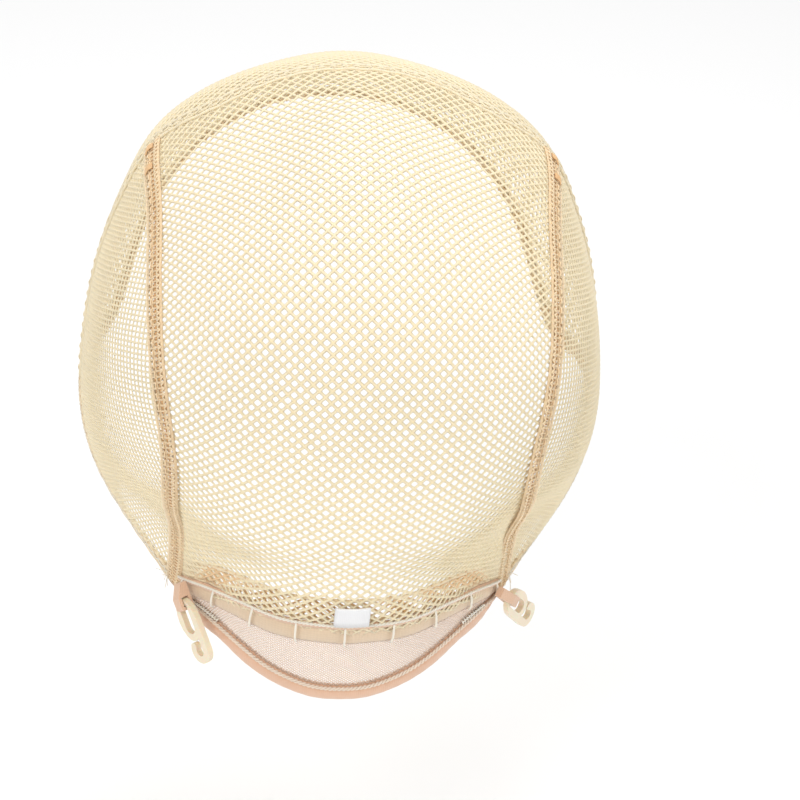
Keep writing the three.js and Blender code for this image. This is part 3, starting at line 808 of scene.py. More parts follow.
def yarn_finish(name, colour, knot_colour):
    """Polished yarn: warm at the knots and on lower layers with painted shade, lighter along the
    strands, with fine twisted fibres.
    """
    depth = {"Subsurface_Weight": 0.15, "Subsurface_Scale": 0.002}
    finish = Finish(name, roughness=0.62, Sheen_Weight=0.25, **depth)
    finish.shader.inputs["Subsurface Radius"].default_value = (1.0, 0.8, 0.55)
    patches = finish.noise(size=0.018, detail=3.0)
    fibres = finish.noise(size=0.0004)
    body = finish.mix(patches, opaque(colour), shaded(colour, 0.9))
    # The shade mark warms the yarn towards the knots' colour at knots, and as painted shade on
    # lower layers of doubled strips
    knots_and_painted_shade = finish.mark("shade") ** 2 * 0.75
    finish.colour(finish.mix(knots_and_painted_shade, body, opaque(knot_colour)))
    finish.relief(fibres, depth=0.0001, strength=0.5)
    return finish.material


def woven_finish(name, colour, thread, roughness=0.7, sheen=0.3):
    """Close woven or knitted cloth with crossing threads of one size."""
    finish = Finish(name, roughness, Sheen_Weight=sheen)
    weft = finish.stripes(thread, "Z", unevenness=1.5)
    warp = finish.stripes(thread, "X", unevenness=1.5)
    patches = finish.noise(size=0.012, detail=3.0)
    weave = weft * 0.5 + warp * 0.5
    body = finish.mix(patches, opaque(colour), shaded(colour, 0.88))
    finish.colour(finish.mix(weave * 0.35, body, shaded(colour, 0.8)))
    finish.relief(weave, depth=0.00012, strength=0.6)
    return finish.material


def moulded_finish(name, colour):
    """Moulded plastic, a little cloudy, with soft scuffs."""
    depth = {"Subsurface_Weight": 0.2, "Subsurface_Scale": 0.003}
    finish = Finish(name, roughness=0.36, Coat_Weight=0.15, **depth)
    clouds, scuffs = finish.noise(size=0.006), finish.noise(size=0.002, detail=4.0)
    finish.colour(finish.mix(clouds, opaque(colour), shaded(colour, 0.9)))
    finish.rough(scuffs * 0.2 + 0.28)
    finish.relief(finish.noise(size=0.0015), depth=0.00008, strength=0.3)
    return finish.material


def stage_finish(name, colour):
    finish = Finish(name, roughness=0.9)
    finish.colour(finish.mix(finish.noise(size=0.4), opaque(colour), shaded(colour, 0.985)))
    return finish.material


def colour_property(name, description, default):
    text = {"name": name, "description": description}
    return FloatVectorProperty(**text, subtype="COLOR", size=3, min=0, max=1, default=default)


def length_property(name, description, default):
    text = {"name": name, "description": description}
    return FloatProperty(**text, default=default, min=0, unit="LENGTH")


class WigCapSettings(bpy.types.PropertyGroup):
    cell_width: length_property("Net cell width", "Width of one mesh of the open net", 0.0033)
    cell_height: length_property("Net cell height", "Height of one mesh of the open net", 0.0032)
    yarn: length_property("Yarn", "Width of the open net's yarn", 0.00085)
    side_pitch: length_property("Side pitch", "Distance between the side nets' columns", 0.0018)
    seam_cell: length_property("Seam cell", "Size of one mesh of the doubled seams", 0.0018)
    nape_cell: length_property("Nape cell", "Size of one mesh of the nape net", 0.00115)
    nape_yarn: length_property("Nape yarn", "Width of the nape net's yarn", 0.0004)
    thread: length_property("Thread", "Thickness of the sewing thread", 0.00055)
    tacks: IntProperty(name="Bar tacks", description="Bar tacks over the casing", default=9, min=2)
    tack_pitch: length_property("Tack pitch", "Distance between bar tacks", 0.0134)
    net_colour: colour_property("Net", "Colour of the open net", (0.90, 0.78, 0.55))
    # Knots' colour of the open net, which is also the painted shade of the cross seam's lower layer
    knot_colour: colour_property("Knots", "Colour of the net's knots", (0.90, 0.72, 0.42))
    seam_colour: colour_property("Seams", "Colour of the doubled seams", (0.94, 0.74, 0.48))
    # Seam knots' colour, which is also the painted shade of the lower layers of the seams and hems
    seam_knot_colour: colour_property("Seam knots", "Colour of seam knots", (0.78, 0.45, 0.20))
    hem_colour: colour_property("Hems", "Colour of the doubled net hems", (0.90, 0.74, 0.50))
    casing_colour: colour_property("Casing", "Colour of the casing", (0.76, 0.58, 0.40))
    piping_colour: colour_property("Piping", "Colour of the piping", (0.80, 0.54, 0.38))
    nape_colour: colour_property("Nape net", "Colour of the nape net", (0.88, 0.70, 0.58))
    binding_colour: colour_property("Binding", "Colour of the binding", (0.80, 0.49, 0.32))
    stitch_colour: colour_property("Stitches", "Colour of the sewing thread", (0.90, 0.84, 0.72))
    plastic_colour: colour_property("Hooks", "Colour of the hooks", (0.86, 0.76, 0.57))
    tag_colour: colour_property("Tag", "Colour of the tag", (0.92, 0.92, 0.93))
    floor_colour: colour_property("Floor", "Colour of the floor", (0.93, 0.93, 0.93))


def declare(piece, node, width, length, area, under, held="stretched"):
    """Hides the CAD node that a sheet stands for."""
    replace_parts(piece, node)
    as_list(under)


def panel_net(name, node, panel, cell, yarn, seed, strips, parts=net_parts):
    """Open net over a whole panel, running on a little under the strips at its edges."""
    random = np.random.default_rng(seed)
    low, high = panel.outline.min(0) - TUCK, panel.outline.max(0) + TUCK
    half = np.array(cell) / 2
    start = np.floor(low / (2 * half)) * 2 * half - 2 * half
    size = [(start[axis], high[axis] + 2 * half[axis]) for axis in (0, 1)]
    covers = lambda x, y: panel.covers(x, y, TUCK)
    points, faces, knots, area = parts(panel.place, covers, size, cell, yarn, NET_LIFT, random)
    piece = new_piece(name, points, faces, net_material(), "net", shade=knots)
    declare(piece, node, *(high - low), area, strips)


def settings():
    return bpy.context.scene.wig_cap


def net_cell():
    return (settings().cell_width, settings().cell_height)


def shared(name, finish, *looks):
    """Material of several pieces, made when the first of them asks for it."""
    return bpy.data.materials.get(name) or finish(name, *looks)


def net_material():
    return shared("net_yarn", yarn_finish, settings().net_colour, settings().knot_colour)


def seam_material():
    return shared("seam_yarn", yarn_finish, settings().seam_colour, settings().seam_knot_colour)


def hem_material():
    return shared("hem_yarn", yarn_finish, settings().hem_colour, settings().seam_knot_colour)


def thread_material():
    colour = settings().stitch_colour
    return shared("sewing_thread", yarn_finish, colour, shaded(colour, 0.8)[:3])


def piping_material():
    return shared("piping_cord", woven_finish, settings().piping_colour, PIPING_YARN)


class WIGCAP_OT_crown_net(bpy.types.Operator):
    """Open net of the crown and back, between the side seams"""

    bl_idname = "wig_cap.crown_net"
    bl_label = "Crown net"
    tilts = (-0.3, 2.7)
    reach_across = 1.15

    def execute(self, context):
        top = stretch(CROSS_BACK, *[reach(CROSS_BACK, seam.top) for seam in (LEFT, RIGHT)])
        left, right = [
            stretch(seam.inner, 0, length_of(seam.inner) - CASING_WIDTH) for seam in (LEFT, RIGHT)
        ]
        outline = np.vstack([top, right, CASING_TOP[::-1], left[::-1]])
        panel = Panel(fan_grid(self.tilts, self.reach_across), outline)
        strips = ["seam_band_left", "seam_band_right", "crown_hem"]
        panel_net("crown_net", "crown_panel", panel, net_cell(), settings().yarn, 3, strips)
        return {"FINISHED"}


class WIGCAP_OT_side_nets(bpy.types.Operator):
    """Open nets of both sides, between the side seams and the ears"""

    bl_idname = "wig_cap.side_nets"
    bl_label = "Side nets"
    turn = math.radians(62)
    lean = math.radians(24)
    falls = (0.5, 2.7)
    reach_across = 1.3
    yarn_share = 0.7
    row_share = 0.8

    def execute(self, context):
        for index, (name, seam) in enumerate((("left", LEFT), ("right", RIGHT))):
            start = reach(SEAM_ACROSS, seam.outer[0])
            ear = length_of(SEAM_ACROSS) if seam.side > 0 else 0.0
            corner = length_of(HEM) if seam.side > 0 else 0.0
            above = stretch(SEAM_ACROSS, start, ear)
            below = stretch(HEM, EARS[index][1], corner)
            outline = np.vstack([above, below, seam.outer[::-1]])
            turn = seam.side * self.turn
            panel = Panel(level_grid(turn, self.lean, self.falls, self.reach_across), outline)
            cell = (settings().side_pitch, settings().side_pitch * self.row_share)
            yarn = settings().yarn * self.yarn_share
            strips = [f"seam_band_{name}", f"ear_hem_{name}"]
            look = (panel, cell, yarn, 5 + index, strips, square_net_parts)
            panel_net(f"side_net_{name}", f"side_panel_{name}", *look)
        return {"FINISHED"}


class WIGCAP_OT_front_net(bpy.types.Operator):
    """Open net ahead of the cross seam, to the hairline"""

    bl_idname = "wig_cap.front_net"
    bl_label = "Front net"
    falls = (1.75, 0.3)
    reach_across = 2.1

    def execute(self, context):
        outline = np.vstack([SEAM_AHEAD, stretch(HEM, *FRONT_ENDS)[::-1]])
        panel = Panel(level_grid(0.0, math.pi / 2, self.falls, self.reach_across), outline)
        strips = ["cross_seam_band", "front_hem"]
        panel_net("front_net", "front_panel", panel, net_cell(), settings().yarn, 7, strips)
        return {"FINISHED"}


def strip_net(
    name,
    node,
    strip,
    cell,
    yarn,
    layers,
    material,
    slot,
    seed,
    parts=net_parts,
    under="crown_panel",
):
    """Doubled net over a strip, with a cord in each fold. A layer is its lift, its
    shift and its painted shade: a share of the knots' colour that darkens a lower layer so
    that it looks shaded through the holes above. A cell is its size along the strip and across."""
    random = np.random.default_rng(seed)
    mesh = Mesh()
    area = 0.0
    size = [(-cell[0], strip.length + cell[0]), (-cell[1] / 2, strip.width + cell[1] / 2)]
    covers = lambda x, y: (x > 0) & (x < strip.length) & (y > 0) & (y < strip.width)
    for lift, shift, painted_shade in layers:
        points, faces, shades, layer_area = parts(
            strip.place, covers, size, cell, yarn, lift, random, (shift, shift / 2)
        )
        # Painted shade: a layer's share darkens all of its yarn towards the knots' colour
        mesh.add(points, faces.tolist(), np.maximum(shades * LAYER_SHADE, painted_shade))
        area += layer_area
    along = np.linspace(0, strip.length, int(strip.length / FOLD_STEP))
    lift = layers[-1][0] + FOLD_WAVE_HEIGHT * np.sin(along / FOLD_WAVE_LENGTH)
    for across in (0.0, strip.width):
        path = strip.place(along, np.full_like(along, across), lift)
        mesh.tube(path, yarn * FOLD_CORD, FOLD_SHADE)
    piece = mesh.piece(name, material, slot)
    width = strip.width * len(layers)
    declare(piece, node, width, strip.length, area * FOLD_ALLOWANCE, [under])


def cloth_strip(name, node, strip, counts, top, bottom, material, slot, under):
    """Closed strip of cloth that stands for a node. Counts are its columns and rows."""
    grid = sheet_parts(strip.place, strip.length, strip.width, *counts, top, level(bottom))
    piece = new_piece(name, *grid, material, slot)
    declare(piece, node, strip.width, strip.length, strip.width * strip.length, [under])


def zigzag(strip, across, reach_across, pitch, lift):
    """Path of a zigzag stitch along a strip."""
    count = max(2, int(strip.length / pitch * 2))
    order = np.arange(count + 1)
    side = across + reach_across / 2 * np.where(order % 2 == 0, 1, -1)
    fine = np.linspace(0, count, count * 3 + 1)
    height = lift + ZIGZAG_RISE * np.abs(np.sin(fine * math.pi))
    along = np.interp(fine, order, np.linspace(0, strip.length, count + 1))
    return strip.place(along, np.interp(fine, order, side), height)


def stitches(mesh, strip, across, pitch, stitch_length, lift, radius):
    """Row of short stitches that dip into the cloth at both ends."""
    share = np.linspace(0, 1, 5)
    height = lift + radius * (STITCH_ARCH * np.sin(share * math.pi) - STITCH_DIP)
    for start in np.arange(pitch / 2, strip.length - stitch_length, pitch):
        path = strip.place(start + share * stitch_length, np.full_like(share, across), height)
        mesh.tube(path, radius, STITCH_SHADE)


def twisted_pair(mesh, strip, across, lift, swing, rise, twist_length, radius, step, mark):
    """Two threads along a strip that twist round each other."""
    along = np.linspace(0, strip.length, int(strip.length / step))
    twist = along / twist_length * math.tau
    for phase in (0.0, math.pi):
        sideways = across + swing * np.cos(twist + phase)
        mesh.tube(strip.place(along, sideways, lift + rise * np.sin(twist + phase)), radius, mark)


class WIGCAP_OT_seams(bpy.types.Operator):
    """Doubled net over the two side seams and the seam from ear to ear, with their stitches"""

    bl_idname = "wig_cap.seams"
    bl_label = "Seams"
    # Lower layer of a side seam: its lift, its shift and its painted shade, which darkens it nearly
    # to the seam knots' colour so that the seam's holes look shaded
    lower_layer = (0.0007, 0.0, 1.1)
    wrap_rise = 0.0005
    wrap_lean = 0.0006
    wrap_starts = (0.0012, 0.0095)
    wraps = 4

    def execute(self, context):
        cell, yarn, thread = settings().seam_cell, settings().yarn, settings().thread
        layers = (self.lower_layer, (UPPER_NET_LIFT, cell / 2, 0.0))
        for index, (name, seam) in enumerate((("left", LEFT), ("right", RIGHT))):
            strip = Strip(seam.inner, seam.outer)
            piece, node = f"seam_net_{name}", f"seam_band_{name}"
            look = (layers, seam_material(), "seam", 11 + index, square_net_parts)
            strip_net(piece, node, strip, (cell * 0.85, cell), yarn * 0.7, *look)
            sewn = Mesh()
            path = zigzag(
                strip, across=0.0004, reach_across=0.0011, pitch=0.0015, lift=STITCH_HEIGHT
            )
            sewn.tube(path, thread * ZIGZAG_THREAD, 0.2)
            stitches(
                sewn,
                strip,
                across=strip.width * 0.6,
                pitch=0.0028,
                stitch_length=0.0019,
                lift=STITCH_HEIGHT,
                radius=thread * 0.4,
            )
            self.knot(sewn, strip, thread)
            sewn.piece(f"seam_stitch_{name}", seam_material(), "seam")
        strip = Strip(SEAM_AHEAD, SEAM_ACROSS)
        # Lower layer of the cross seam with a little painted shade towards the knots' colour, and
        # the upper layer without
        layers = ((0.0006, 0.0, 0.4), (0.001, net_cell()[0] / 2, 0.0))
        look = (layers, net_material(), "net", 17)
        strip_net("cross_seam_net", "cross_seam_band", strip, net_cell(), yarn * 0.9, *look)
        sewn = Mesh()
        stitches(
            sewn,
            strip,
            across=strip.width * 0.85,
            pitch=0.0036,
            stitch_length=0.002,
            lift=0.0015,
            radius=thread * 0.35,
        )
        sewn.piece("cross_seam_stitch", net_material(), "net")
        return {"FINISHED"}

    def knot(self, mesh, strip, thread):
        """Thread wound a few times over the top of a seam, at two places."""
        share = np.linspace(0, 1, 7)
        across = lerp(strip.width * 0.3, strip.width * 0.85, share)
        height = STITCH_HEIGHT + self.wrap_rise * np.sin(share * math.pi)
        for start in self.wrap_starts:
            for wrap in range(self.wraps):
                along = start + wrap * thread * 0.9 + self.wrap_lean * share
                mesh.tube(strip.place(along, across, height), thread * 0.45, 1.0)


class WIGCAP_OT_hems(bpy.types.Operator):
    """Turned net hems of the free edge over the ears and round the face"""

    bl_idname = "wig_cap.hems"
    bl_label = "Edge hems"

    def execute(self, context):
        ends = [end / length_of(HEM) for end in FRONT_ENDS]
        spans = (
            ("ear_hem_left", "side_panel_left", 0.0, ends[0]),
            ("front_hem", "front_panel", ends[0], ends[1]),
            ("ear_hem_right", "side_panel_right", ends[1], 1.0),
        )
        cell = (net_cell()[0] * 0.85, net_cell()[1] * 0.8)
        # Lower layer of a hem with painted shade towards the seam knots' colour, and the upper
        # layer without
        layers = ((NET_LIFT, 0.0, 0.6), (0.001, cell[0] / 2, 0.0))
        for index, (name, panel, start, end) in enumerate(spans):
            strip = Strip(HEM, EDGE, start, end)
            look = (layers, hem_material(), "hem", 21 + index)
            strip_net(f"{name}_net", name, strip, cell, settings().yarn, *look, under=panel)
            thread = Mesh()
            path = zigzag(strip, across=0.0012, reach_across=0.0014, pitch=0.0028, lift=0.0014)
            thread.tube(path, settings().thread * ZIGZAG_THREAD, 0.6)
            thread.piece(f"{name}_stitch", thread_material(), "hem")
        return {"FINISHED"}


def tack_places():
    """Distances of the bar tacks along the casing, spaced out from its middle."""
    middle = length_of(CASING_TOP) / 2
    count = settings().tacks
    return [middle + (index - (count - 1) / 2) * settings().tack_pitch for index in range(count)]


class WIGCAP_OT_casing(bpy.types.Operator):
    """Nape casing with its elastic, piping and bar tacks, and the doubled net above it"""

    bl_idname = "wig_cap.casing"
    bl_label = "Casing"
    seat = 0.0005
    swell = 0.0010
    draw_share = 0.45
    draw_width = 0.018
    ripple = 0.00008
    ripples = 260
    piping_lift = 0.0011
    piping_radius = 0.0009
    seam_line_radius = 0.0004
    tack_start = -0.0018
    tack_lift = 0.0012
    tack_rise = 0.0011
    tack_lean = 0.0004

    def execute(self, context):
        hem, cell = Strip(CROWN_HEM_TOP, PIPING_TOP), net_cell()
        # The crown hem's net is a real second layer under the crown net, darkened towards the seam
        # knots' colour as painted shade
        look = (((0.0002, cell[0] / 2, 0.9),), hem_material(), "hem", 31)
        strip_net("crown_hem_net", "crown_hem", hem, cell, settings().yarn, *look)
        strip = Strip(CASING_TOP, CASING_BOTTOM)
        self.elastic_casing(strip)
        self.piping(Strip(PIPING_TOP, CASING_TOP))
        self.bar_tacks(strip)
        return {"FINISHED"}

    def elastic_casing(self, strip):
        """Cloth drawn in at each tack and swollen between them by the elastic inside."""
        tacks = np.array(tack_places()) / length_of(CASING_TOP)
        drawn = lambda u: np.exp(-(((u[..., None] - tacks) / self.draw_width) ** 2)).sum(-1)

        def top(u, v):
            swell = self.swell * np.sin(np.clip(v, 0, 1) * math.pi) ** 0.6
            ripple = self.ripple * np.sin(u * self.ripples) * np.sin(v * math.pi)
            return self.seat + swell * (1 - self.draw_share * drawn(u)) + ripple

        material = woven_finish("casing_cloth", settings().casing_colour, 0.0009, 0.75, 0.4)
        look = (material, "casing", "nape_net")
        cloth_strip("casing", "nape_casing", strip, (260, 10), top, 0.0001, *look)

    def piping(self, ridge):
        """Rolled edge over the casing, the seam line under it and the cord on it."""
        along = np.linspace(0, ridge.length, 240)
        lift = np.full_like(along, self.piping_lift)
        wobble = 0.00012 * np.sin(along / 0.0021) + 0.00008 * np.sin(along / 0.00073)
        radius = self.piping_radius * (1 + 0.05 * np.sin(along / 0.0017))
        mesh = Mesh()
        mesh.tube(ridge.place(along, ridge.width * 0.55 + wobble, lift), radius, sides=8)
        path = ridge.place(along, np.full_like(along, ridge.width), lift)
        mesh.tube(path, self.seam_line_radius, sides=6)
        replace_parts(mesh.piece("piping", piping_material(), "piping"), "casing_piping")
        cord = Mesh()
        twisted_pair(
            cord,
            ridge,
            across=ridge.width * 0.2,
            lift=0.0019,
            swing=0.00026,
            rise=0.0002,
            twist_length=0.0022,
            radius=0.00026,
            step=0.0003,
            mark=0.4,
        )
        cord.piece("piping_cord", thread_material(), "piping")

    def bar_tacks(self, strip):
        """White cords that hold the elastic, each from the piping over the casing."""
        mesh = Mesh()
        share = np.linspace(0, 1, 9)
        across = lerp(self.tack_start, strip.width * 1.04, share)
        arch = np.sin(np.clip(share * 1.02, 0, 1) * math.pi) ** 0.5
        height = self.tack_lift + self.tack_rise * arch
        for index, place in enumerate(tack_places()):
            lean = self.tack_lean * math.sin(index * 2.3)
            along = place * strip.length / length_of(CASING_TOP) + lean * (share - 0.5)
            mesh.tube(strip.place(along, across, height), settings().thread * 0.62, 0.1, sides=6)
        mesh.piece("bar_tacks", thread_material(), "casing")


class WIGCAP_OT_nape(bpy.types.Operator):
    """Fine nape net and the bound edge under it, with its chain stitch"""

    bl_idname = "wig_cap.nape"
    bl_label = "Nape"
    net_ends = (0.02, 0.98)
    least_width = 0.0008
    row_share = 0.85
    seat = 0.0007
    roll = 0.0009
    wrinkle = 0.00012
    wrinkles = 190
    crease = 0.0003
    crease_place = 0.22
    crease_width = 0.07
    corner_spans = ((0.04, 0.14), (0.86, 0.95))

    def execute(self, context):
        self.fine_net()
        strip = Strip(BINDING_TOP, NAPE_EDGE)
        self.binding(strip)
        self.edge_stitches(strip)
        self.corner_stitches()
        return {"FINISHED"}

    def fine_net(self):
        """Mesh with level rows. Its strip narrows to nothing at both corners."""
        cell, yarn = settings().nape_cell, settings().nape_yarn
        strip = Strip(CASING_BOTTOM, BINDING_TOP, *self.net_ends)
        gap = np.linalg.norm(on_head(strip.first) - on_head(strip.second), axis=1)
        depth = gap.max()

        def width_at(along):
            return np.interp(along / strip.length * (len(gap) - 1), np.arange(len(gap)), gap)

        def place(along, across, lift):
            share = np.clip(across / np.maximum(width_at(along), self.least_width), 0, 1)
            return strip.place(along, share * strip.width, lift)

        def covers(along, across):
            inside = (across < width_at(along) + cell * 0.4) & (across > 0)
            return inside & (along > 0) & (along < strip.length)

        size = [(-cell, strip.length + cell), (-cell, depth + cell)]
        random = np.random.default_rng(41)
        points, faces, shades, area = net_parts(
            place, covers, size, (cell, cell * self.row_share), yarn, NET_LIFT, random
        )
        colour = settings().nape_colour
        material = yarn_finish("nape_yarn", colour, shaded(colour, 0.92)[:3])
        piece = new_piece("nape_mesh", points, faces, material, "nape_net", shade=shades)
        declare(piece, "nape_net", depth, strip.length, area, ["nape_binding"])

    def binding(self, strip):
        """Soft folded tape, rolled over at the rim."""

        def top(u, v):
            roll = self.roll * np.sin(np.clip(v, 0, 1) * math.pi) ** 0.5
            ripple = np.sin(u * self.wrinkles + 2.5 * np.sin(v * 3)) * np.sin(v * math.pi)
            away = (v - self.crease_place) / self.crease_width
            crease = self.crease * np.exp(-(away**2))
            return self.seat + roll + self.wrinkle * ripple - crease

        material = woven_finish("binding_tape", settings().binding_colour, 0.0006, 0.6, 0.5)
        look = (material, "binding", "nape_net")
        cloth_strip("binding", "nape_binding", strip, (300, 14), top, -0.0001, *look)

    def edge_stitches(self, strip):
        """Chain of two threads along the top of the binding, over a brown zigzag."""
        chain = Mesh()
        twisted_pair(
            chain,
            strip,
            across=0.0006,
            lift=0.0016,
            swing=0.00042,
            rise=0.00028,
            twist_length=0.0026,
            radius=0.00032,
            step=0.0004,
            mark=0.2,
        )
        colour = lerp(np.array(settings().stitch_colour), np.array(settings().piping_colour), 0.45)
        chain.piece("binding_stitch", yarn_finish("chain_thread", colour, colour * 0.85), "binding")
        lower = Mesh()
        path = zigzag(strip, across=-0.0008, reach_across=0.0011, pitch=0.0019, lift=0.001)
        lower.tube(path, 0.00012, 1.0)
        brown = shaded(settings().binding_colour, 0.62)[:3]
        lower.piece("binding_under_stitch", yarn_finish("under_thread", brown, brown), "binding")

    def corner_stitches(self):
        """White zigzag that holds the elastic's end at each corner."""
        mesh = Mesh()
        for start, end in self.corner_spans:
            part = Strip(BINDING_TOP, NAPE_EDGE, start, end)
            path = zigzag(part, across=-0.0012, reach_across=0.0024, pitch=0.001, lift=0.0014)
            mesh.tube(path, settings().thread * ZIGZAG_THREAD)
        mesh.piece("corner_stitches", thread_material(), "binding")


class WIGCAP_OT_loose_threads(bpy.types.Operator):
    """Short thread ends left at both nape corners"""

    bl_idname = "wig_cap.loose_threads"
    bl_label = "Loose threads"
    counts = ((LEFT, 9), (RIGHT, 5))
    lengths = (0.0015, 0.0038)
    stretch_of_seam = 0.006
    radius = 0.00011

    def execute(self, context):
        random = np.random.default_rng(53)
        mesh = Mesh()
        for seam, count in self.counts:
            for _ in range(count):
                from_corner = random.uniform(0.0, self.stretch_of_seam)
                start = point_at(seam.outer, length_of(seam.outer) - from_corner)
                foot = cloth_point(start, 0.0012)
                aim = unit(outward(start) * random.uniform(0.5, 1.0) + random.normal(0, 0.6, 3))
                bend = np.cross(aim, random.normal(0, 1, 3))
                share = np.linspace(0, 1, 8)[:, None]
                length = random.uniform(*self.lengths)
                path = foot + aim * share * length + bend * (share**2) * length * 0.4
                mesh.tube(path, self.radius, random.uniform(0, 0.6))
        mesh.piece("loose_threads", thread_material(), "seam")
        return {"FINISHED"}


class WIGCAP_OT_hooks(bpy.types.Operator):
    """Moulded hooks with rounded edges, and the elastic loops that hold them"""

    bl_idname = "wig_cap.hooks"
    bl_label = "Hooks"
    # Half the way round the loops' elastic: its width and thickness together
    loop_girth = 0.004
    hook_rounding = 0.0006
    loop_rounding = 0.0003

    def execute(self, context):
        plastic = moulded_finish("hook_plastic", settings().plastic_colour)
        for name in ("left", "right"):
            hook, strap = f"hook_{name}", f"hook_strap_{name}"
            look = (self.hook_rounding, plastic, "hook_plastic")
            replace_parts(self.rounded(f"hook_body_{name}", hook, *look), hook)
            look = (self.loop_rounding, piping_material(), "piping")
            loop = self.rounded(f"elastic_loop_{name}", strap, *look)
            area = sum(face.area for face in loop.data.polygons) / 2
            declare(loop, strap, LEAST_FLAT, area / self.loop_girth, area, [hook], "folded")
        return {"FINISHED"}

    def rounded(self, name, node, width, material, slot):
        """Piece with the form of a CAD node, its edges rounded off."""
        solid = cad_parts[node].data
        corners = [tuple(vertex.co) for vertex in solid.vertices]
        faces = [tuple(face.vertices) for face in solid.polygons]
        piece = new_piece(name, corners, faces, material, slot, smooth_shading=False)
        rounding = piece.modifiers.new("rounded_edges", "BEVEL")
        rounding.width = width
        rounding.segments = 3
        rounding.limit_method = "ANGLE"
        rounding.angle_limit = math.radians(50)
        return piece


class WIGCAP_OT_tag(bpy.types.Operator):
    """Bare folded tag that stands on the piping"""

    bl_idname = "wig_cap.tag"
    bl_label = "Tag"
    thickness = 0.00025
    gap = 0.0004
    bow = 0.0004
    fold_start = 0.9
    facing = (0.03, -0.914, -0.404)

    def execute(self, context):
        low, high = [np.array(corner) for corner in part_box("size_tag")]
        width, _, height = high - low
        facing = unit(np.array(self.facing))
        rise = unit(np.cross(facing, (1.0, 0.0, 0.0)))
        rise = rise if rise[2] > 0 else -rise
        side = np.cross(rise, facing)
        leaf = np.linspace(0, self.fold_start, 4)
        fold = np.linspace(0, math.pi, 7)
        depth = self.gap / 2 + self.thickness
        up = np.concatenate([leaf, 0.95 + 0.05 * np.sin(fold), leaf[::-1]]) * height
        out = np.concatenate([[depth] * 4, depth * np.cos(fold), [-depth] * 4])
        last = len(up) - 1

        def place(along, step, inset):
            """Point of the folded cloth: along its width, and at a step of its profile."""
            step = np.rint(step).astype(int)
            column = width / 2 - along
            bend = self.bow * (1 - (column / (width / 2)) ** 2)
            tall = up[step] - height / 2 - inset * (up[step] > self.fold_start * height)
            ahead = out[step] - np.sign(out[step]) * inset + bend
            return (low + high) / 2 + np.stack([column, tall, ahead], -1) @ (side, rise, facing)

        grid = sheet_parts(place, width, last, 12, last, level(0.0), level(self.thickness))
        material = woven_finish("tag_satin", settings().tag_colour, 0.0005, 0.45, 0.2)
        piece = new_piece("tag", *grid, material, "tag")
        area = width * 2 * height
        declare(piece, "size_tag", width, 2 * height, area, ["casing_piping"], "folded")
        return {"FINISHED"}


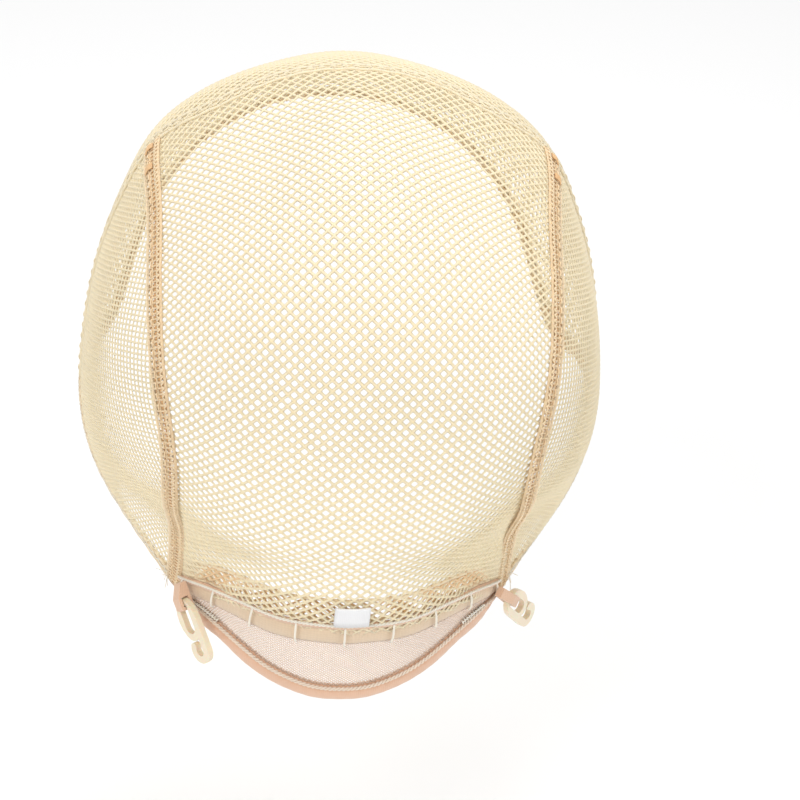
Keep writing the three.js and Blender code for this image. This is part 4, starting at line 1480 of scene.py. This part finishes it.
class WIGCAP_OT_stage(bpy.types.Operator):
    """Pale floor, soft studio light and the camera at the photograph's angle"""

    bl_idname = "wig_cap.stage"
    bl_label = "Stage"

    def execute(self, context):
        context.scene.view_settings.view_transform = "Standard"
        self.floor()
        self.lights()
        self.camera()
        return {"FINISHED"}

    def floor(self):
        mesh = bpy.data.meshes.new("floor")
        corners = [
            (x * FLOOR_REACH, y * FLOOR_REACH, FLOOR_LEVEL)
            for x, y in ((-1, -1), (1, -1), (1, 1), (-1, 1))
        ]
        mesh.from_pydata(corners, [], [(0, 1, 2, 3)])
        mesh.materials.append(stage_finish("pale_floor", settings().floor_colour))
        floor = bpy.data.objects.new("floor", mesh)
        bpy.context.scene.collection.objects.link(floor)

    def lights(self):
        world = bpy.data.worlds.new("studio")
        world.use_nodes = True
        sky = world.node_tree.nodes["Background"].inputs
        sky["Color"].default_value = (1.0, 1.0, 1.0, 1.0)
        sky["Strength"].default_value = SKY_STRENGTH
        bpy.context.scene.world = world
        for name, place, size, power in LAMPS:
            light = bpy.data.lights.new(name, "AREA")
            light.shape = "DISK"
            light.size = size
            light.energy = power
            lamp = bpy.data.objects.new(name, light)
            lamp.location = place
            aim = Vector(HEAD_CENTRE) - Vector(place)
            lamp.rotation_euler = aim.to_track_quat("-Z", "Y").to_euler()
            bpy.context.scene.collection.objects.link(lamp)

    def camera(self):
        sin, cos = math.sin(CAMERA_YAW), math.cos(CAMERA_YAW)
        level_share = math.cos(CAMERA_RISE)
        back = Vector((sin * level_share, -cos * level_share, math.sin(CAMERA_RISE)))
        right = Vector((cos, sin, 0.0))
        up = back.cross(right)
        roll = Matrix.Rotation(CAMERA_ROLL, 3, back)
        right, up = roll @ right, roll @ up
        focal_pixels = PIXELS_PER_METRE * CAMERA_DISTANCE
        off_right = (FRAME_PIXELS / 2 - HEAD_PIXEL[0]) / focal_pixels
        off_up = (HEAD_PIXEL[1] - FRAME_PIXELS / 2) / focal_pixels
        ahead = (-back + right * off_right + up * off_up).normalized()
        right = (right - ahead * right.dot(ahead)).normalized()
        turned = Matrix((right, right.cross(ahead), -ahead)).transposed().to_4x4()
        data = bpy.data.cameras.new("camera")
        data.sensor_width = SENSOR_WIDTH
        data.lens = focal_pixels / FRAME_PIXELS * SENSOR_WIDTH
        data.clip_start = 0.01
        data.clip_end = 20
        camera = bpy.data.objects.new("camera", data)
        place = Vector(HEAD_CENTRE) + back * CAMERA_DISTANCE
        camera.matrix_world = Matrix.Translation(place) @ turned
        bpy.context.scene.collection.objects.link(camera)
        bpy.context.scene.camera = camera


OPERATORS = (
    WIGCAP_OT_crown_net,
    WIGCAP_OT_side_nets,
    WIGCAP_OT_front_net,
    WIGCAP_OT_seams,
    WIGCAP_OT_hems,
    WIGCAP_OT_casing,
    WIGCAP_OT_nape,
    WIGCAP_OT_loose_threads,
    WIGCAP_OT_hooks,
    WIGCAP_OT_tag,
    WIGCAP_OT_stage,
)


class WIGCAP_PT_panel(bpy.types.Panel):
    """Sizes, colours and build steps of the wig cap"""

    bl_idname = "WIGCAP_PT_panel"
    bl_label = "Wig Cap"
    bl_space_type = "VIEW_3D"
    bl_region_type = "UI"
    bl_category = "Wig Cap"

    def draw(self, context):
        for name in WigCapSettings.__annotations__:
            self.layout.prop(context.scene.wig_cap, name)
        for operator in OPERATORS:
            self.layout.operator(operator.bl_idname)


CLASSES = (WigCapSettings, *OPERATORS, WIGCAP_PT_panel)


def register():
    for each in CLASSES:
        bpy.utils.register_class(each)
    bpy.types.Scene.wig_cap = PointerProperty(type=WigCapSettings)


def unregister():
    del bpy.types.Scene.wig_cap
    for each in reversed(CLASSES):
        bpy.utils.unregister_class(each)


def main():
    register()
    for operator in OPERATORS:
        group, name = operator.bl_idname.split(".")
        getattr(getattr(bpy.ops, group), name)()


if __name__ == "__main__":
    main()
